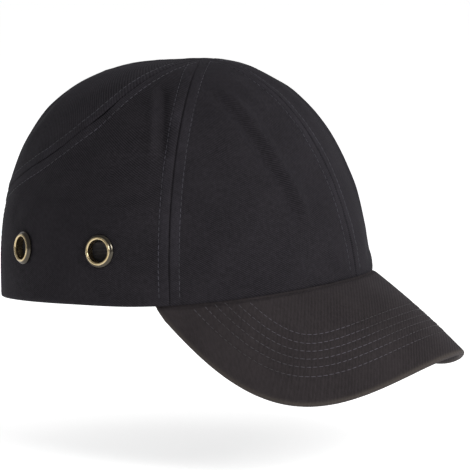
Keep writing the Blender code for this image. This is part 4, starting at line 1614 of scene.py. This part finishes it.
def settle(piece):
    # makes a piece's modifiers part of its mesh
    graph = bpy.context.evaluated_depsgraph_get()
    mesh = bpy.data.meshes.new_from_object(piece.evaluated_get(graph))
    piece.modifiers.clear()
    old = piece.data
    piece.data = mesh
    bpy.data.meshes.remove(old)


def addShell():
    plan = shellPlan

    def place(u, v):
        angle = mix(-math.pi, math.pi, u)
        return angle, mix(shellRim(angle), 1.0, 1 - (1 - v) ** 1.25)

    def relief(u, v, point):
        angle, rise = place(u, v)
        channel = 0.0
        for at in plan["channels"]:
            aside = (abs(angle) - math.radians(at)) * plan["meanRadius"] * math.cos(rise * math.pi / 2)
            channel = max(channel, bump(aside, plan["channelWidth"]))
        fade = ease((v - 0.06) / 0.10) * ease((0.90 - rise) / 0.10)
        return -shellDepth(rise) - plan["channelDepth"] * channel * fade, 0.0

    bm = layGrid(
        onCrown(place), plan["columns"], plan["rows"], lambda u, v: (u, v), relief,
    )
    shell = addPiece("liner_shell_moulding", bm, "shell", None)
    thicken(shell, plan["thickness"])
    cutter = ventCutter()
    cut = shell.modifiers.new("vents", "BOOLEAN")
    cut.operation = "DIFFERENCE"
    cut.solver = "EXACT"
    cut.object = cutter
    settle(shell)
    bpy.data.objects.remove(cutter)
    shell.data.set_sharp_from_angle(angle=math.radians(40))
    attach(shell, "liner")
    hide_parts("liner_shell")
    addRimBead()
    print("liner shell moulded")


def addRimBead():
    plan = shellPlan
    steps = plan["beadSteps"]
    rim = []
    for step in range(steps + 1):
        angle = mix(-math.pi, math.pi, step / steps)
        rise = shellRim(angle)
        rim.append(below(angle, rise, shellDepth(rise) + plan["thickness"] / 2)[0])
    bm = bmesh.new()
    ring = None
    for number, point in enumerate(rim[:-1]):
        way = (rim[(number + 1) % steps] - rim[number - 1]).normalized()
        turn = way.to_track_quat("Z", "Y").to_matrix().to_4x4()
        made = bmesh.ops.create_circle(
            bm, segments=plan["beadSides"], radius=plan["bead"],
            matrix=Matrix.Translation(point) @ turn,
        )
        edges = list({e for vert in made["verts"] for e in vert.link_edges})
        if ring:
            bmesh.ops.bridge_loops(bm, edges=ring + edges)
        else:
            first = edges
        ring = edges
    bmesh.ops.bridge_loops(bm, edges=ring + first)
    bmesh.ops.recalc_face_normals(bm, faces=bm.faces)
    addPiece("liner_rim_bead", bm, "shell", "liner")


padPlan = {
    "voxel": 1.2 * mm, "shrink": 0.40 * mm, "pressure": 4.0, "frames": 20, "most": 0.9 * mm,
    "channel": 0.8 * mm, "channelWidth": 1.54 * mm, "channelFlat": 0.4 * mm,
    "face": 6.3 * mm, "topFace": 4 * mm, "fill": 0.7,
}


def puff(pad):
    # blows the pad up a little as cloth round its foam, and stops how far any point may go
    before = [vert.co.copy() for vert in pad.data.vertices]
    cloth = pad.modifiers.new("cloth", "CLOTH")
    cloth.settings.quality = 5
    cloth.settings.mass = 0.2
    cloth.settings.use_pressure = True
    cloth.settings.uniform_pressure_force = padPlan["pressure"]
    cloth.settings.effector_weights.gravity = 0.0
    cloth.point_cache.frame_start = 1
    cloth.point_cache.frame_end = padPlan["frames"]
    for number in range(1, padPlan["frames"] + 1):
        bpy.context.scene.frame_set(number)
    settle(pad)
    bpy.context.scene.frame_set(1)
    for start, vert in zip(before, pad.data.vertices):
        moved = vert.co - start
        if moved.length > padPlan["most"]:
            vert.co = start + moved.normalized() * padPlan["most"]


def addPads():
    plan = padPlan
    # node: middle angle, half width, low and high rise, for its sewn channels
    pads = {
        "pad_front": (0.0, 0.034, 0.22, 0.56),
        "pad_side_right": (math.radians(88), 0.026, 0.27, 0.56),
        "pad_side_left": (math.radians(-88), 0.026, 0.27, 0.56),
        "pad_rear_right": (math.radians(140), 0.022, 0.44, 0.68),
        "pad_rear_left": (math.radians(-140), 0.022, 0.44, 0.68),
        "pad_top": None,
    }
    for name, span in pads.items():
        bm = bmesh.new()
        bm.from_mesh(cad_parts[name].data)
        bmesh.ops.remove_doubles(bm, verts=bm.verts, dist=0.00001)
        bm.normal_update()
        for vert in bm.verts:
            vert.co -= vert.normal * plan["shrink"]
        pad = addPiece(name + "_cushion", bm, "pad", None)
        remesh = pad.modifiers.new("even", "REMESH")
        remesh.mode = "VOXEL"
        remesh.voxel_size = plan["voxel"]
        settle(pad)
        puff(pad)
        if span:
            middle, half, low, high = span
            lines = []
            for share in (1 / 3, 2 / 3):
                rise = mix(low, high, share)
                spread = half / roundWay(middle, rise)
                lines.append([(middle + spread * turn / 8, rise) for turn in range(-9, 10)])
            lines.append([(middle, mix(low, high, step / 12)) for step in range(-1, 14)])
            lines = [
                Line([below(*at, shellDepth(at[1]) + plan["face"])[0] for at in line])
                for line in lines
            ]
        else:
            low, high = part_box(name)
            height = low.z + plan["topFace"]
            lines = [
                Line([Vector((mix(low.x, high.x, step / 8), y, height)) for step in range(9)])
                for y in (mix(low.y, high.y, 0.33), mix(low.y, high.y, 0.67))
            ]
        for vert in pad.data.vertices:
            gap = min(line.near(vert.co)[0] for line in lines)
            toHead = (headCentre + Vector((0, 0, 0.02)) - vert.co).normalized()
            if vert.normal.dot(toHead) > 0.2:
                vert.co -= toHead * plan["channel"] * bump(gap - plan["channelFlat"], plan["channelWidth"])
        smooth = pad.modifiers.new("smooth", "SUBSURF")
        smooth.levels = 1
        smooth.render_levels = 1
        pad.data.shade_smooth()
        pad.data.materials.clear()
        pad.data.materials.append(finishes["pad"])
        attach(pad, "liner")
        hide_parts(name)
    print("pads filled")


addShell()
addPads()
